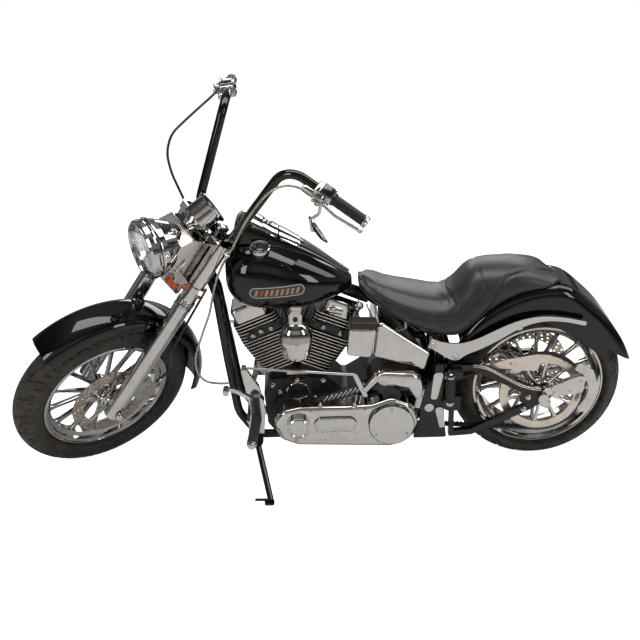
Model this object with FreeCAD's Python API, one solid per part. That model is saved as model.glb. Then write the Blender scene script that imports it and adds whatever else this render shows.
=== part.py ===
import FreeCAD
import Part
import math
import os

os.makedirs("parts", exist_ok=True)
V = FreeCAD.Vector

# The bike is drawn upright and straight. X runs rearwards from the rear axle,
# Y runs to the rider's right and Z runs up from the ground. All lengths are in mm.

# Wheels and chassis
WHEELBASE = 1636.0
RAKE = 34.05
FORK_OFFSET = 58.7
STEERING_LOCK = 37.5
STEERING_TRAVEL = 75.0
LEAN = 10.0

REAR_TYRE_R = 320.0
REAR_TYRE_HALF = 97.0
REAR_CROWN_R = 112.0
FRONT_TYRE_R = 340.0
FRONT_TYRE_HALF = 63.0
FRONT_CROWN_R = 66.0
RIM_SEAT_R = 228.6
RIM_LIP_R = RIM_SEAT_R + 14.4
RIM_WALL = 5.0
REAR_RIM_HALF = 80.0
FRONT_RIM_HALF = 45.0
HUB_R = 34.0
REAR_HUB_HALF = 62.0
FRONT_HUB_HALF = 55.0
AXLE_R = 12.0
RUN_GAP = 0.05
SEAT_GAP = 0.3
SPOKE_PAIRS = 7
REAR_SPOKE_PAIRS = 7

# Fork
LEG_Y = 113.0
SLIDER_R = 31.5
SLIDER_TOP = 512.0
COVER_R = 30.0
LOWER_CLAMP_S = 562.0
LOWER_CLAMP_H = 34.0
UPPER_CLAMP_S = 752.0
UPPER_CLAMP_H = 28.0
HEAD_R = 32.0
STEM_R = 15.0

# Handlebar
BAR_R = 16.0
BAR_GRIP_R = 12.0
GRIP_R = 18.5
GRIP_LEN = 128.0
BAR_LOW = V(-1178, 112, 976)
BAR_TOP = V(-1028, 204, 1321)
BAR_END = V(-868, 446, 1213)
MIRROR_HOLE_R = 5.0
BAR_LOW_BEND = 60.0
BAR_TOP_BEND = 75.0

# Brakes and belt
DISC_R = 146.0
DISC_T = 5.0
FRONT_DISC_Y = 68.0
REAR_DISC_Y = 104.0
PULLEY_R = 154.0
PULLEY_W = 24.0
BELT_Y = 119.0
BELT_T = 7.0
SMALL_PULLEY_R = 55.0
SMALL_PULLEY_Z = 262.0

# Fenders
FENDER_T = 3.0
FRONT_FENDER_R = 400.0
FRONT_FENDER_EDGE_R = 346.0
FRONT_FENDER_HALF = 76.0
FRONT_FENDER_REAR_DEG = -18.0
FRONT_FENDER_NOSE_DEG = 123.0
REAR_FENDER_HALF = 122.0

# Engine
CRANK_X = -895.0
CRANK_Z = 262.0
VEE_HALF = 22.5
CYL_BASE = 165.0
CYL_TOP = 350.0
BARREL_R = 52.0
FIN_T = 2.6
FIN_COUNT = 18
FIN_LONG = 84.0
FIN_SHORT = 58.0
FIN_HALF_Y = 74.0
HEAD_TOP = 392.0
ROCKER_TOP = 448.0
CASE_HALF = 92.0
PRIMARY_IN = 136.0
PRIMARY_OUT = 222.0
CLUTCH_X = CRANK_X + 336.0
CLUTCH_R = 80.0
SMALL_PULLEY_X = CLUTCH_X + 54.0
COVER_LIFT = 13.0

# Frame
TUBE_R = 16.0
RAIL_Y = 85.0
RAIL_Z = 148.0
BACKBONE_R = 24.0

# Stand
STAND_PIVOT = V(-1045, -236, 208)
STAND_SWING = 75.0
STAND_FOOT_X = -997.0
STAND_FOOT_Y = -433.0
STAND_R = 11.0

REAR_AXLE_Z = REAR_TYRE_R
STAND_AXIS = V(0.25, -0.65, 0.71)
STAND_AXIS.normalize()
FRONT_AXLE_Z = FRONT_TYRE_R
sin_r = math.sin(math.radians(RAKE))
cos_r = math.cos(math.radians(RAKE))
AXIS_UP = V(sin_r, 0, cos_r)
AXIS_FWD = V(-cos_r, 0, sin_r)
FRONT_AXLE = V(-WHEELBASE, 0, FRONT_AXLE_Z)
AXIS_FOOT = FRONT_AXLE - AXIS_FWD * FORK_OFFSET
X1 = V(1, 0, 0)
Y1 = V(0, 1, 0)
Z1 = V(0, 0, 1)


def fork_point(s, t, y=0.0):
    """A point s up the steering axis, t ahead of it and y to the side."""
    return AXIS_FOOT + AXIS_UP * s + AXIS_FWD * t + Y1 * y


def flip(p):
    return V(p.x, -p.y, p.z)


def unit(v):
    w = V(v.x, v.y, v.z)
    w.normalize()
    return w


def rod(a, b, r):
    d = b - a
    return Part.makeCylinder(r, d.Length, a, d)


def ring(a, b, r_out, r_in):
    return rod(a, b, r_out).cut(rod(a - (b - a), b + (b - a), r_in))


def cone(a, b, ra, rb):
    d = b - a
    return Part.makeCone(ra, rb, d.Length, a, d)


def disc_y(x, z, y0, y1, r):
    lo = min(y0, y1)
    return Part.makeCylinder(r, abs(y1 - y0), V(x, lo, z), Y1)


def box(x0, x1, y0, y1, z0, z1):
    return Part.makeBox(x1 - x0, y1 - y0, z1 - z0, V(x0, y0, z0))


def outline_wire(points, radius, to_vec):
    """A closed outline whose corners are rounded by one radius, or by one each."""
    n = len(points)
    pts = [to_vec(*p) for p in points]
    radii = radius if isinstance(radius, (list, tuple)) else [radius] * n
    starts = []
    edges_arc = []
    for i in range(n):
        a = pts[i - 1]
        b = pts[i]
        c = pts[(i + 1) % n]
        r = radii[i]
        if r <= 0:
            starts.append((b, b))
            edges_arc.append(None)
            continue
        u = unit(a - b)
        w = unit(c - b)
        half = math.acos(max(-1.0, min(1.0, u.dot(w)))) / 2.0
        cut = r / math.tan(half)
        room = 0.48 * min((a - b).Length, (c - b).Length)
        if cut > room:
            cut = room
            r = cut * math.tan(half)
        p0 = b + u * cut
        p1 = b + w * cut
        mid_dir = unit(u + w)
        centre = b + mid_dir * (r / math.sin(half))
        mid = centre - mid_dir * r
        starts.append((p0, p1))
        edges_arc.append(Part.Arc(p0, mid, p1).toShape())
    edges = []
    for i in range(n):
        if edges_arc[i] is not None:
            edges.append(edges_arc[i])
        p = starts[i][1]
        q = starts[(i + 1) % n][0]
        if (q - p).Length > 1e-6:
            edges.append(Part.makeLine(p, q))
    return Part.Wire(edges)


def plate_y(points, y0, y1, radius=0.0):
    """A side-view outline in X and Z, as thick as y0 to y1."""
    lo = min(y0, y1)
    wire = outline_wire(points, radius, lambda x, z: V(x, lo, z))
    return Part.Face(wire).extrude(V(0, abs(y1 - y0), 0))


def turned(profile, x, z, y_sign=1.0):
    """A ring turned about the line through x, z along Y, from radius and y points."""
    pts = [V(x + r, y * y_sign, z) for r, y in profile]
    wire = Part.makePolygon(pts + [pts[0]])
    return Part.Face(wire).revolve(V(x, 0, z), Y1, 360)


def spun(profile, base, axis, side):
    """A body turned about a slanted axis, from radius and height points."""
    pts = [base + side * r + axis * h for r, h in profile]
    wire = Part.makePolygon(pts + [pts[0]])
    return Part.Face(wire).revolve(base, axis, 360)


def bent_path(points, radii):
    """Straight runs joined by tangent arcs."""
    edges = []
    last = points[0]
    for i in range(1, len(points) - 1):
        a = points[i - 1]
        b = points[i]
        c = points[i + 1]
        u = unit(a - b)
        w = unit(c - b)
        half = math.acos(max(-1.0, min(1.0, u.dot(w)))) / 2.0
        if half > math.radians(89.5):
            continue
        r = radii[i - 1] if isinstance(radii, (list, tuple)) else radii
        cut = r / math.tan(half)
        room = 0.45 * min((a - b).Length, (c - b).Length)
        if cut > room:
            cut = room
            r = cut * math.tan(half)
        p0 = b + u * cut
        p1 = b + w * cut
        mid_dir = unit(u + w)
        mid = b + mid_dir * (r / math.sin(half) - r)
        if (p0 - last).Length > 1e-4:
            edges.append(Part.makeLine(last, p0))
        edges.append(Part.Arc(p0, mid, p1).toShape())
        last = p1
    edges.append(Part.makeLine(last, points[-1]))
    return Part.Wire(edges)


def pipe(points, radii, r):
    """A round bar swept along straight runs and tangent arcs."""
    path = bent_path(points, radii)
    first = path.Edges[0]
    start = first.valueAt(first.FirstParameter)
    along = first.tangentAt(first.FirstParameter)
    profile = Part.Wire([Part.makeCircle(r, start, along)])
    solid = path.makePipeShell([profile], True, False)
    want = path.Length * math.pi * r * r
    if abs(solid.Volume - want) > 0.02 * want:
        print("pipe volume differs", round(solid.Volume / want, 3))
    return solid


def flat_bar(points, y0, y1, width, bend=20.0):
    """A flat bar of one width along a side-view line, from y0 to y1."""
    left = []
    right = []
    n = len(points)
    for i in range(n):
        if i == 0:
            d = V(points[1][0] - points[0][0], 0, points[1][1] - points[0][1])
        elif i == n - 1:
            d = V(points[-1][0] - points[-2][0], 0, points[-1][1] - points[-2][1])
        else:
            d0 = unit(V(points[i][0] - points[i - 1][0], 0, points[i][1] - points[i - 1][1]))
            d1 = unit(V(points[i + 1][0] - points[i][0], 0, points[i + 1][1] - points[i][1]))
            d = d0 + d1
        d = unit(d)
        w = width[i] if isinstance(width, (list, tuple)) else width
        left.append((points[i][0] - d.z * w / 2, points[i][1] + d.x * w / 2))
        right.append((points[i][0] + d.z * w / 2, points[i][1] - d.x * w / 2))
    return plate_y(left + right[::-1], y0, y1, bend)


def loop_section(x, z_low, z_high, half, z_wide, square=2.4, flat=1.0):
    """A closed rounded section across the bike at one x."""
    pts = []
    count = 20
    for i in range(count):
        a = 2 * math.pi * i / count
        ca = math.cos(a)
        sa = math.sin(a)
        y = half * math.copysign(abs(ca) ** (2.0 / square), ca)
        reach = (z_high - z_wide) if sa >= 0 else (z_wide - z_low) * flat
        z = z_wide + reach * math.copysign(abs(sa) ** (2.0 / square), sa)
        pts.append(V(x, y, z))
    curve = Part.BSplineCurve()
    curve.interpolate(pts, PeriodicFlag=True)
    return Part.Wire([curve.toShape()])


def u_section(centre, inward, half, depth, thick, shoulder):
    """A thin channel section open along inward, for a fender."""
    def side(h, d, r):
        pts = [V(0, -h, 0) + inward * d]
        pts.append(V(0, -h, 0) + inward * r)
        for k in (0.3, 0.7):
            a = k * math.pi / 2
            pts.append(V(0, -h + r * (1 - math.cos(a)), 0) + inward * (r * (1 - math.sin(a))))
        crown = 0.10 * r
        pts.append(V(0, -h + r, 0) + inward * crown * 0.35)
        pts.append(V(0, 0, 0) - inward * crown * 0.35)
        for p in pts[:-1][::-1]:
            pts.append(V(p.x, -p.y, p.z))
        return [centre + p for p in pts]
    outer = side(half, depth, shoulder)
    inner_centre = centre
    centre_keep = centre
    inner = []
    for p in side(half - thick, depth - thick, shoulder - thick * 0.6):
        inner.append(p + inward * thick)
    co = Part.BSplineCurve()
    co.interpolate(outer)
    ci = Part.BSplineCurve()
    ci.interpolate(inner[::-1])
    e1 = co.toShape()
    e2 = Part.makeLine(outer[-1], inner[-1])
    e3 = ci.toShape()
    e4 = Part.makeLine(inner[0], outer[0])
    return Part.Wire([e1, e2, e3, e4])


def one(shape):
    """The solid itself where a boolean left a compound of one."""
    if shape.ShapeType == "Compound" and len(shape.Solids) == 1:
        return shape.Solids[0]
    return shape


def join(parts):
    if len(parts) == 1:
        return parts[0]
    return one(parts[0].multiFuse(parts[1:]).removeSplitter())


def rounded(shape, radius, pick):
    edges = [e for e in shape.Edges if pick(e)]
    if not edges:
        return shape
    try:
        return one(shape.makeFillet(radius, edges))
    except Exception:
        print("rounding left out at radius", radius)
        return shape


root = {}
steer = {}
front_spin = {}
rear_spin = {}
stand = {}

# Tyres and rims


def make_tyre(x, z, r_out, half, crown, rim_half):
    low = RIM_SEAT_R + SEAT_GAP
    rc = r_out - crown
    ang = math.asin((half * 0.93) / crown)
    y_edge = crown * math.sin(ang)
    r_edge = rc + crown * math.cos(ang)
    p0 = V(x + low, -rim_half + RIM_WALL + SEAT_GAP, z)
    p1 = V(x + RIM_LIP_R + 3, -rim_half + RIM_WALL + SEAT_GAP, z)
    p2 = V(x + (r_edge + RIM_LIP_R) * 0.5 - 4, -half, z)
    p3 = V(x + r_edge, -y_edge, z)
    p4 = V(x + r_out, 0, z)
    q3 = V(p3.x, -p3.y, z)
    q2 = V(p2.x, -p2.y, z)
    q1 = V(p1.x, -p1.y, z)
    q0 = V(p0.x, -p0.y, z)
    edges = [Part.makeLine(p0, p1)]
    edges.append(Part.Arc(p1, p2, p3).toShape())
    edges.append(Part.Arc(p3, p4, q3).toShape())
    edges.append(Part.Arc(q3, q2, q1).toShape())
    edges.append(Part.makeLine(q1, q0))
    edges.append(Part.makeLine(q0, p0))
    face = Part.Face(Part.Wire(edges))
    return face.revolve(V(x, 0, z), Y1, 360)


def make_rim(x, z, rim_half, hub_half, pairs, hub_bore, phase, gap_deg):
    w = RIM_WALL
    ring_profile = [
        (RIM_LIP_R, -rim_half), (RIM_LIP_R, -rim_half + w), (RIM_SEAT_R, -rim_half + w),
        (RIM_SEAT_R, -rim_half + 22), (RIM_SEAT_R - 16, -rim_half + 32),
        (RIM_SEAT_R - 16, rim_half - 32), (RIM_SEAT_R, rim_half - 22),
        (RIM_SEAT_R, rim_half - w), (RIM_LIP_R, rim_half - w), (RIM_LIP_R, rim_half),
        (RIM_SEAT_R - w, rim_half), (RIM_SEAT_R - w - 1, rim_half - 20),
        (RIM_SEAT_R - 16 - w, rim_half - 31), (RIM_SEAT_R - 16 - w, -rim_half + 31),
        (RIM_SEAT_R - w - 1, -rim_half + 20), (RIM_SEAT_R - w, -rim_half)]
    rim = turned(ring_profile, x, z)
    hub = disc_y(x, z, -hub_half, hub_half, HUB_R)
    hub = join([hub, disc_y(x, z, -14, 14, HUB_R + 16)])
    spokes = []
    r0 = HUB_R + 8
    r1 = RIM_SEAT_R - 18
    for i in range(pairs):
        for sgn in (-1, 1):
            a0 = phase + 360.0 * i / pairs + sgn * gap_deg * 0.42
            a1 = phase + 360.0 * i / pairs + sgn * gap_deg
            c0 = V(r0 * math.cos(math.radians(a0)), 0, r0 * math.sin(math.radians(a0)))
            c1 = V(r1 * math.cos(math.radians(a1)), 0, r1 * math.sin(math.radians(a1)))
            d = unit(c1 - c0)
            nrm = V(-d.z, 0, d.x)
            pts = [c0 + nrm * 5.5, c1 + nrm * 4.5, c1 - nrm * 4.5, c0 - nrm * 5.5]
            pts = [V(p.x + x, -10, p.z + z) for p in pts]
            face = Part.Face(Part.makePolygon(pts + [pts[0]]))
            spokes.append(face.extrude(V(0, 20, 0)))
    body = join([rim, hub] + spokes)
    return one(body.cut(disc_y(x, z, -hub_half - 5, hub_half + 5, hub_bore)))


fx = FRONT_AXLE.x
fz = FRONT_AXLE_Z
rz = REAR_AXLE_Z
front_spin["front_tyre"] = make_tyre(fx, fz, FRONT_TYRE_R, FRONT_TYRE_HALF, FRONT_CROWN_R, FRONT_RIM_HALF)
rear_spin["rear_tyre"] = make_tyre(0, rz, REAR_TYRE_R, REAR_TYRE_HALF, REAR_CROWN_R, REAR_RIM_HALF)
front_spin["front_rim"] = make_rim(fx, fz, FRONT_RIM_HALF, FRONT_HUB_HALF, SPOKE_PAIRS, AXLE_R + RUN_GAP, 62.3, 12.8)
rear_spin["rear_rim"] = make_rim(0, rz, REAR_RIM_HALF, REAR_HUB_HALF, REAR_SPOKE_PAIRS, AXLE_R + RUN_GAP, 130.0, 12.5)


def make_disc(x, z, y0, y1, boss_y, r_out, bore):
    ring_body = disc_y(x, z, y0, y1, r_out).cut(disc_y(x, z, y0 - 1, y1 + 1, r_out - 52))
    carrier = disc_y(x, z, y0, y1, HUB_R + 20)
    arms = []
    for i in range(5):
        a = math.radians(90 + 72 * i)
        d = V(math.cos(a), 0, math.sin(a))
        n = V(-d.z, 0, d.x)
        c = V(x, min(y0, y1), z)
        pts = [c + d * 30 + n * 9, c + d * (r_out - 48) + n * 9, c + d * (r_out - 48) - n * 9, c + d * 30 - n * 9]
        arms.append(Part.Face(Part.makePolygon(pts + [pts[0]])).extrude(V(0, abs(y1 - y0), 0)))
    boss = disc_y(x, z, y0 if abs(y0) < abs(y1) else y1, boss_y, HUB_R)
    body = join([ring_body, carrier, boss] + arms)
    return one(body.cut(disc_y(x, z, -200, 200, bore)))


d0 = -FRONT_DISC_Y - DISC_T / 2
front_spin["front_disc"] = make_disc(fx, fz, d0, d0 + DISC_T, -FRONT_HUB_HALF, DISC_R, AXLE_R + RUN_GAP)
d1 = REAR_DISC_Y + DISC_T / 2
rear_spin["rear_disc"] = make_disc(0, rz, d1, d1 - DISC_T, REAR_HUB_HALF, DISC_R, AXLE_R + RUN_GAP)

# Rear pulley and belt
pul_y0 = -BELT_Y - PULLEY_W / 2
pul_y1 = -BELT_Y + PULLEY_W / 2
pulley = disc_y(0, rz, pul_y0, pul_y1, PULLEY_R).cut(disc_y(0, rz, pul_y0 - 1, pul_y1 + 1, PULLEY_R - 28))
pulley_core = disc_y(0, rz, pul_y0 + 3, pul_y1 - 3, 56)
pulley_arms = []
for i in range(7):
    a = math.radians(360.0 * i / 7 + 12)
    d = V(math.cos(a), 0, math.sin(a))
    n = V(-d.z, 0, d.x)
    c = V(0, pul_y0 + 4, rz)
    pts = [c + d * 40 + n * 10, c + d * (PULLEY_R - 24) + n * 6, c + d * (PULLEY_R - 24) - n * 6, c + d * 40 - n * 10]
    pulley_arms.append(Part.Face(Part.makePolygon(pts + [pts[0]])).extrude(V(0, PULLEY_W - 8, 0)))
pulley_boss = disc_y(0, rz, pul_y1 - 4, -REAR_HUB_HALF, HUB_R)
pulley = join([pulley, pulley_core, pulley_boss] + pulley_arms)
rear_spin["rear_pulley"] = one(pulley.cut(disc_y(0, rz, -200, 200, AXLE_R + RUN_GAP)))


def belt_outline(grow):
    """The line round both pulleys, grown outwards."""
    ra = SMALL_PULLEY_R + grow
    rb = PULLEY_R + grow
    a = V(SMALL_PULLEY_X, 0, SMALL_PULLEY_Z)
    b = V(0, 0, rz)
    d = b - a
    length = d.Length
    u = unit(d)
    n = V(-u.z, 0, u.x)
    tilt = math.asin((rb - ra) / length)
    m1 = n * math.cos(tilt) - u * math.sin(tilt)
    m2 = n * (-math.cos(tilt)) - u * math.sin(tilt)
    a1 = a + m1 * ra
    b1 = b + m1 * rb
    a2 = a + m2 * ra
    b2 = b + m2 * rb
    edges = [Part.makeLine(a1, b1)]
    edges.append(Part.Arc(b1, b + u * rb, b2).toShape())
    edges.append(Part.makeLine(b2, a2))
    edges.append(Part.Arc(a2, a - u * ra, a1).toShape())
    face = Part.Face(Part.Wire(edges))
    face.translate(V(0, pul_y0 + 1, 0))
    return face.extrude(V(0, PULLEY_W - 2, 0))


root["drive_belt"] = one(belt_outline(SEAT_GAP + BELT_T).cut(belt_outline(SEAT_GAP)))
front_pulley = disc_y(SMALL_PULLEY_X, SMALL_PULLEY_Z, pul_y0, -CASE_HALF + 1, SMALL_PULLEY_R)

# Rear axle, swingarm
ARM_IN = BELT_Y + PULLEY_W / 2 + 6
ARM_OUT = ARM_IN + 22
REAR_AXLE_HALF = ARM_OUT + 16
root["rear_axle"] = join([
    disc_y(0, rz, -REAR_AXLE_HALF, REAR_AXLE_HALF, AXLE_R),
    disc_y(0, rz, -REAR_AXLE_HALF - 4, -ARM_OUT - SEAT_GAP, 19),
    disc_y(0, rz, ARM_OUT + SEAT_GAP, REAR_AXLE_HALF + 4, 19)])
PIVOT_X = -338.0
PIVOT_Z = 300.0
arm_parts = []
for s in (-1, 1):
    y0 = s * ARM_IN
    y1 = s * ARM_OUT
    arm_parts.append(flat_bar([(-330, 450), (-262, 447), (-200, 423), (-60, 350), (0, rz)], y0, y1, [22, 24, 32, 34, 40], 20))
    arm_parts.append(flat_bar([(-331, 172), (-258, 177), (-160, 222), (-50, 278), (0, rz - 4)], y0, y1, [22, 24, 26, 28, 34], 24))
    arm_parts.append(plate_y([(-340, 161), (-322, 161), (-322, 460), (-340, 460)], y0, y1, 5))
    arm_parts.append(plate_y([(-80, 354), (18, 356), (34, 330), (20, 294), (-40, 284), (-84, 300)], y0, y1, 7))
    arm_parts.append(disc_y(PIVOT_X, PIVOT_Z, y0, y1, 30))
    arm_parts.append(box(-345, -300, min(y0, y1), max(y0, y1), PIVOT_Z - 30, PIVOT_Z + 30))
    arm_parts.append(disc_y(0, rz, y0, y1, 28))
CROSS_IN = RAIL_Y + 18
for s in (-1, 1):
    arm_parts.append(box(-346, -322, min(s * 40, s * ARM_IN), max(s * 40, s * ARM_IN), 432, 460))
arm_parts.append(box(-346, -322, -50, 50, 432, 460))
swing = join(arm_parts)
swing = swing.cut(disc_y(0, rz, -300, 300, AXLE_R + SEAT_GAP))
root["swingarm"] = one(swing)

# Frame
neck_lo = LOWER_CLAMP_S + LOWER_CLAMP_H + SEAT_GAP
neck_hi = UPPER_CLAMP_S - SEAT_GAP


def frame_tubes(grow):
    """The frame's bent tubes, grown by a clearance for what is cut round them."""
    tubes = []
    spine = [fork_point(neck_hi - 55, 8), V(-1090, 0, 842), V(-800, 0, 742), V(-628, 0, 668)]
    tubes.append(pipe(spine, 90, BACKBONE_R + grow))
    for side in (-1, 1):
        down = [fork_point(neck_lo + 55, 0, side * 10), V(-1176, side * 40, 712), V(-1148, side * 72, 480),
                V(-1118, side * RAIL_Y, 250), V(-1050, side * RAIL_Y, RAIL_Z), V(-375, side * RAIL_Y, RAIL_Z),
                V(-372, side * RAIL_Y, 540), V(-640, side * 40, 694)]
        tubes.append(pipe(down, [80, 120, 120, 60, 45, 50], TUBE_R + grow))
    tubes.append(rod(V(-372, -RAIL_Y, 470), V(-372, RAIL_Y, 470), TUBE_R + grow))
    return tubes


frame_parts = [rod(fork_point(neck_lo, 0), fork_point(neck_hi, 0), HEAD_R)] + frame_tubes(0.0)
frame_room = frame_tubes(SEAT_GAP)
frame_parts.append(rod(V(-372, -RAIL_Y, RAIL_Z), V(-372, RAIL_Y, RAIL_Z), TUBE_R))
frame_parts.append(rod(V(-1080, -RAIL_Y, 185), V(-1080, RAIL_Y, 185), TUBE_R * 0.8))
frame_parts.append(disc_y(PIVOT_X, PIVOT_Z, -ARM_IN + SEAT_GAP, ARM_IN - SEAT_GAP, 15))
frame_parts.append(plate_y([(-388, 262), (-320, 275), (-320, 325), (-388, 338)], -RAIL_Y - 12, -RAIL_Y + 12, 6))
frame_parts.append(plate_y([(-388, 262), (-320, 275), (-320, 325), (-388, 338)], RAIL_Y - 12, RAIL_Y + 12, 6))
PLATE_IN = BELT_Y + PULLEY_W / 2 + 3
PLATE_T = 7.0
side_line = [(-470, 146), (-345, 146), (-352, 200), (-360, 320), (-358, 455), (-392, 455), (-400, 400), (-440, 330),
             (-448, 215)]
for side in (-1, 1):
    frame_parts.append(plate_y(side_line, side * PLATE_IN, side * (PLATE_IN + PLATE_T), 6))
    frame_parts.append(box(-388, -356, min(side * (PLATE_IN + 1), side * RAIL_Y), max(side * (PLATE_IN + 1), side * RAIL_Y), 146, 166))
    frame_parts.append(box(-386, -362, min(side * (PLATE_IN + 1), side * RAIL_Y), max(side * (PLATE_IN + 1), side * RAIL_Y), 436, 454))
frame_solid = join(frame_parts)
frame_solid = frame_solid.cut(box(-394, -350, PLATE_IN - 5, PLATE_IN + PLATE_T + 5, 208, 246))
for side in (-1, 1):
    frame_solid = frame_solid.cut(disc_y(PIVOT_X, PIVOT_Z, side * (ARM_IN - 0.3), side * (ARM_OUT + 5), 30.6))
frame_solid = frame_solid.cut(rod(fork_point(neck_lo - 30, 0), fork_point(neck_hi + 30, 0), STEM_R + RUN_GAP))
frame_solid = frame_solid.cut(rod(fork_point(neck_hi, 0), fork_point(neck_hi + 80, 0), 120))
frame_solid = frame_solid.cut(rod(fork_point(neck_lo, 0), fork_point(neck_lo - 60, 0), 60))
root["frame"] = one(frame_solid)

# Engine cases
case_low = RAIL_Z + TUBE_R + SEAT_GAP
case_outline = [(CRANK_X - 115, 200), (CRANK_X - 90, case_low), (CLUTCH_X + 89, case_low), (CLUTCH_X + 119, 205),
                (CLUTCH_X + 129, 330), (CLUTCH_X + 89, 372), (CLUTCH_X - 81, 380), (CLUTCH_X - 161, 330),
                (CRANK_X + 120, 385), (CRANK_X - 105, 385), (CRANK_X - 125, 330)]
cases = plate_y(case_outline, -CASE_HALF, CASE_HALF, 22)
inner_case = plate_y([(CRANK_X - 90, 215), (CRANK_X - 35, 180), (CLUTCH_X - 81, 180), (CLUTCH_X - 51, 230),
                      (CLUTCH_X - 81, 330), (CRANK_X - 65, 330), (CRANK_X - 90, 290)],
                     -PRIMARY_IN, -CASE_HALF + 1, 14)
clutch_shaft = disc_y(CLUTCH_X, CRANK_Z, -PRIMARY_IN, -CASE_HALF + 1, 20)


def along_cylinder(sign):
    a = math.radians(VEE_HALF) * sign
    return V(math.sin(a), 0, math.cos(a))


def cylinder_station(sign, d):
    return V(CRANK_X, 0, CRANK_Z) + along_cylinder(sign) * d


for sign in (-1, 1):
    cases = join([cases, rod(cylinder_station(sign, 60), cylinder_station(sign, CYL_BASE), BARREL_R + 12)])
cases = join([cases, inner_case])
cases = cases.cut(disc_y(SMALL_PULLEY_X, SMALL_PULLEY_Z, -PRIMARY_IN - 5, -CASE_HALF, SMALL_PULLEY_R + BELT_T + 8))
root["engine_cases"] = join([cases, front_pulley])


def make_cylinder(sign):
    axis = along_cylinder(sign)
    cross = V(axis.z, 0, -axis.x)
    parts = [rod(cylinder_station(sign, CYL_BASE + SEAT_GAP), cylinder_station(sign, HEAD_TOP), BARREL_R)]
    outer = -1 if sign < 0 else 1
    for i in range(FIN_COUNT):
        d = CYL_BASE + 8 + (HEAD_TOP - CYL_BASE - 14) * i / (FIN_COUNT - 1)
        f = i / (FIN_COUNT - 1)
        reach_out = FIN_SHORT + (FIN_LONG - FIN_SHORT) * min(1.0, f * 1.6)
        gap_room = d * math.sin(math.radians(VEE_HALF)) / math.cos(math.radians(VEE_HALF)) - 3.0
        reach_in = min(FIN_LONG, gap_room)
        lo = -reach_out if outer < 0 else -reach_in
        hi = reach_in if outer < 0 else reach_out
        c = cylinder_station(sign, d)
        corners = [(lo, -FIN_HALF_Y), (hi, -FIN_HALF_Y), (hi, FIN_HALF_Y), (lo, FIN_HALF_Y)]
        wire = outline_wire(corners, 24, lambda u, y: c + cross * u + Y1 * y)
        parts.append(Part.Face(wire).extrude(axis * FIN_T))
    return one(parts[0].multiFuse(parts[1:]))


root["finned_cylinders"] = Part.makeCompound([make_cylinder(-1), make_cylinder(1)])

def rocker_cover(sign, grow):
    axis = along_cylinder(sign)
    cross = V(axis.z, 0, -axis.x)
    c = cylinder_station(sign, HEAD_TOP + SEAT_GAP - grow)
    a = -72 - grow if sign < 0 else -58 - grow
    b = 58 + grow if sign < 0 else 72 + grow
    w = 66 + grow
    wire = outline_wire([(a, -w), (b, -w), (b, w), (a, w)], 20, lambda u, y: c + cross * u + Y1 * y)
    tall = ROCKER_TOP - HEAD_TOP + 2 * grow
    cover = Part.Face(wire).extrude(axis * tall)
    top_c = c + axis * tall
    return rounded(cover, 12, lambda e: abs((e.CenterOfMass - top_c).dot(axis)) < 0.1)


root["rocker_covers"] = Part.makeCompound([rocker_cover(-1, 0.0), rocker_cover(1, 0.0)])

# Primary cover on the left
pc = [(CRANK_X - 91, 262), (CRANK_X - 66, 204), (CRANK_X - 5, 177), (CLUTCH_X - 1, 161), (CLUTCH_X + 69, 190),
      (CLUTCH_X + 101, CRANK_Z), (CLUTCH_X + 69, 335), (CLUTCH_X, 364), (CLUTCH_X - 69, 338),
      (CLUTCH_X - 163, 334), (CRANK_X + 5, 336), (CRANK_X - 62, 320)]
primary = plate_y(pc, -PRIMARY_OUT, -PRIMARY_IN - SEAT_GAP, 40)
primary = rounded(primary, 16, lambda e: abs(e.CenterOfMass.y + PRIMARY_OUT) < 0.1)
derby = disc_y(CLUTCH_X, CRANK_Z, -PRIMARY_OUT - COVER_LIFT, -PRIMARY_OUT + 2, CLUTCH_R)
front_cap = disc_y(CRANK_X, CRANK_Z, -PRIMARY_OUT - COVER_LIFT - 8, -PRIMARY_OUT + 2, 43)
oval = plate_y([(CRANK_X + 63, 232), (CLUTCH_X - 131, 232), (CLUTCH_X - 131, 292), (CRANK_X + 63, 292)], -PRIMARY_OUT - 8, -PRIMARY_OUT + 2, 29)
root["primary_cover"] = join([primary, derby, front_cap, oval])

# Gearbox top and starter
starter_line = [(CLUTCH_X - 71, 378), (CLUTCH_X - 63, 438), (CLUTCH_X - 28, 456), (CLUTCH_X + 78, 418),
                (CLUTCH_X + 106, 386), (CLUTCH_X + 100, 368)]
starter = join([plate_y(starter_line, -PRIMARY_IN - 42, -60, 13), disc_y(CLUTCH_X - 20, 400, -PRIMARY_IN - 58, -62, 34),
                plate_y([(CLUTCH_X - 81, 379), (CLUTCH_X + 89, 372), (CLUTCH_X + 79, 400), (CLUTCH_X + 39, 426),
                         (CLUTCH_X - 81, 420)], -62, 60, 14)])
starter = rounded(starter, 9, lambda e: abs(e.CenterOfMass.y + PRIMARY_IN + 42) < 0.1)
starter = starter.cut(root["engine_cases"])
starter = starter.cut(disc_y(CLUTCH_X, CRANK_Z, -300, -PRIMARY_IN, 104))
root["gearbox_top"] = max(starter.Solids, key=lambda q: q.Volume)

# Cam cover and pushrod tubes on the right
cam = plate_y([(CRANK_X - 90, 262), (CRANK_X - 45, 200), (CRANK_X + 45, 200), (CRANK_X + 90, 262),
               (CRANK_X + 45, 335), (CRANK_X - 45, 335)], CASE_HALF + SEAT_GAP, CASE_HALF + 52, 30)
cam = rounded(cam, 10, lambda e: abs(e.CenterOfMass.y - CASE_HALF - 52) < 0.1)
tubes = []
for sign in (-1, 1):
    for k in (-1, 1):
        a = V(CRANK_X + sign * 28 + k * 11, CASE_HALF + 24, 326)
        b = cylinder_station(sign, HEAD_TOP - 10) + V(k * 14, FIN_HALF_Y + 14, 0)
        tubes.append(rod(a, b, 7))
root["cam_cover"] = join([cam] + tubes)

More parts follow.
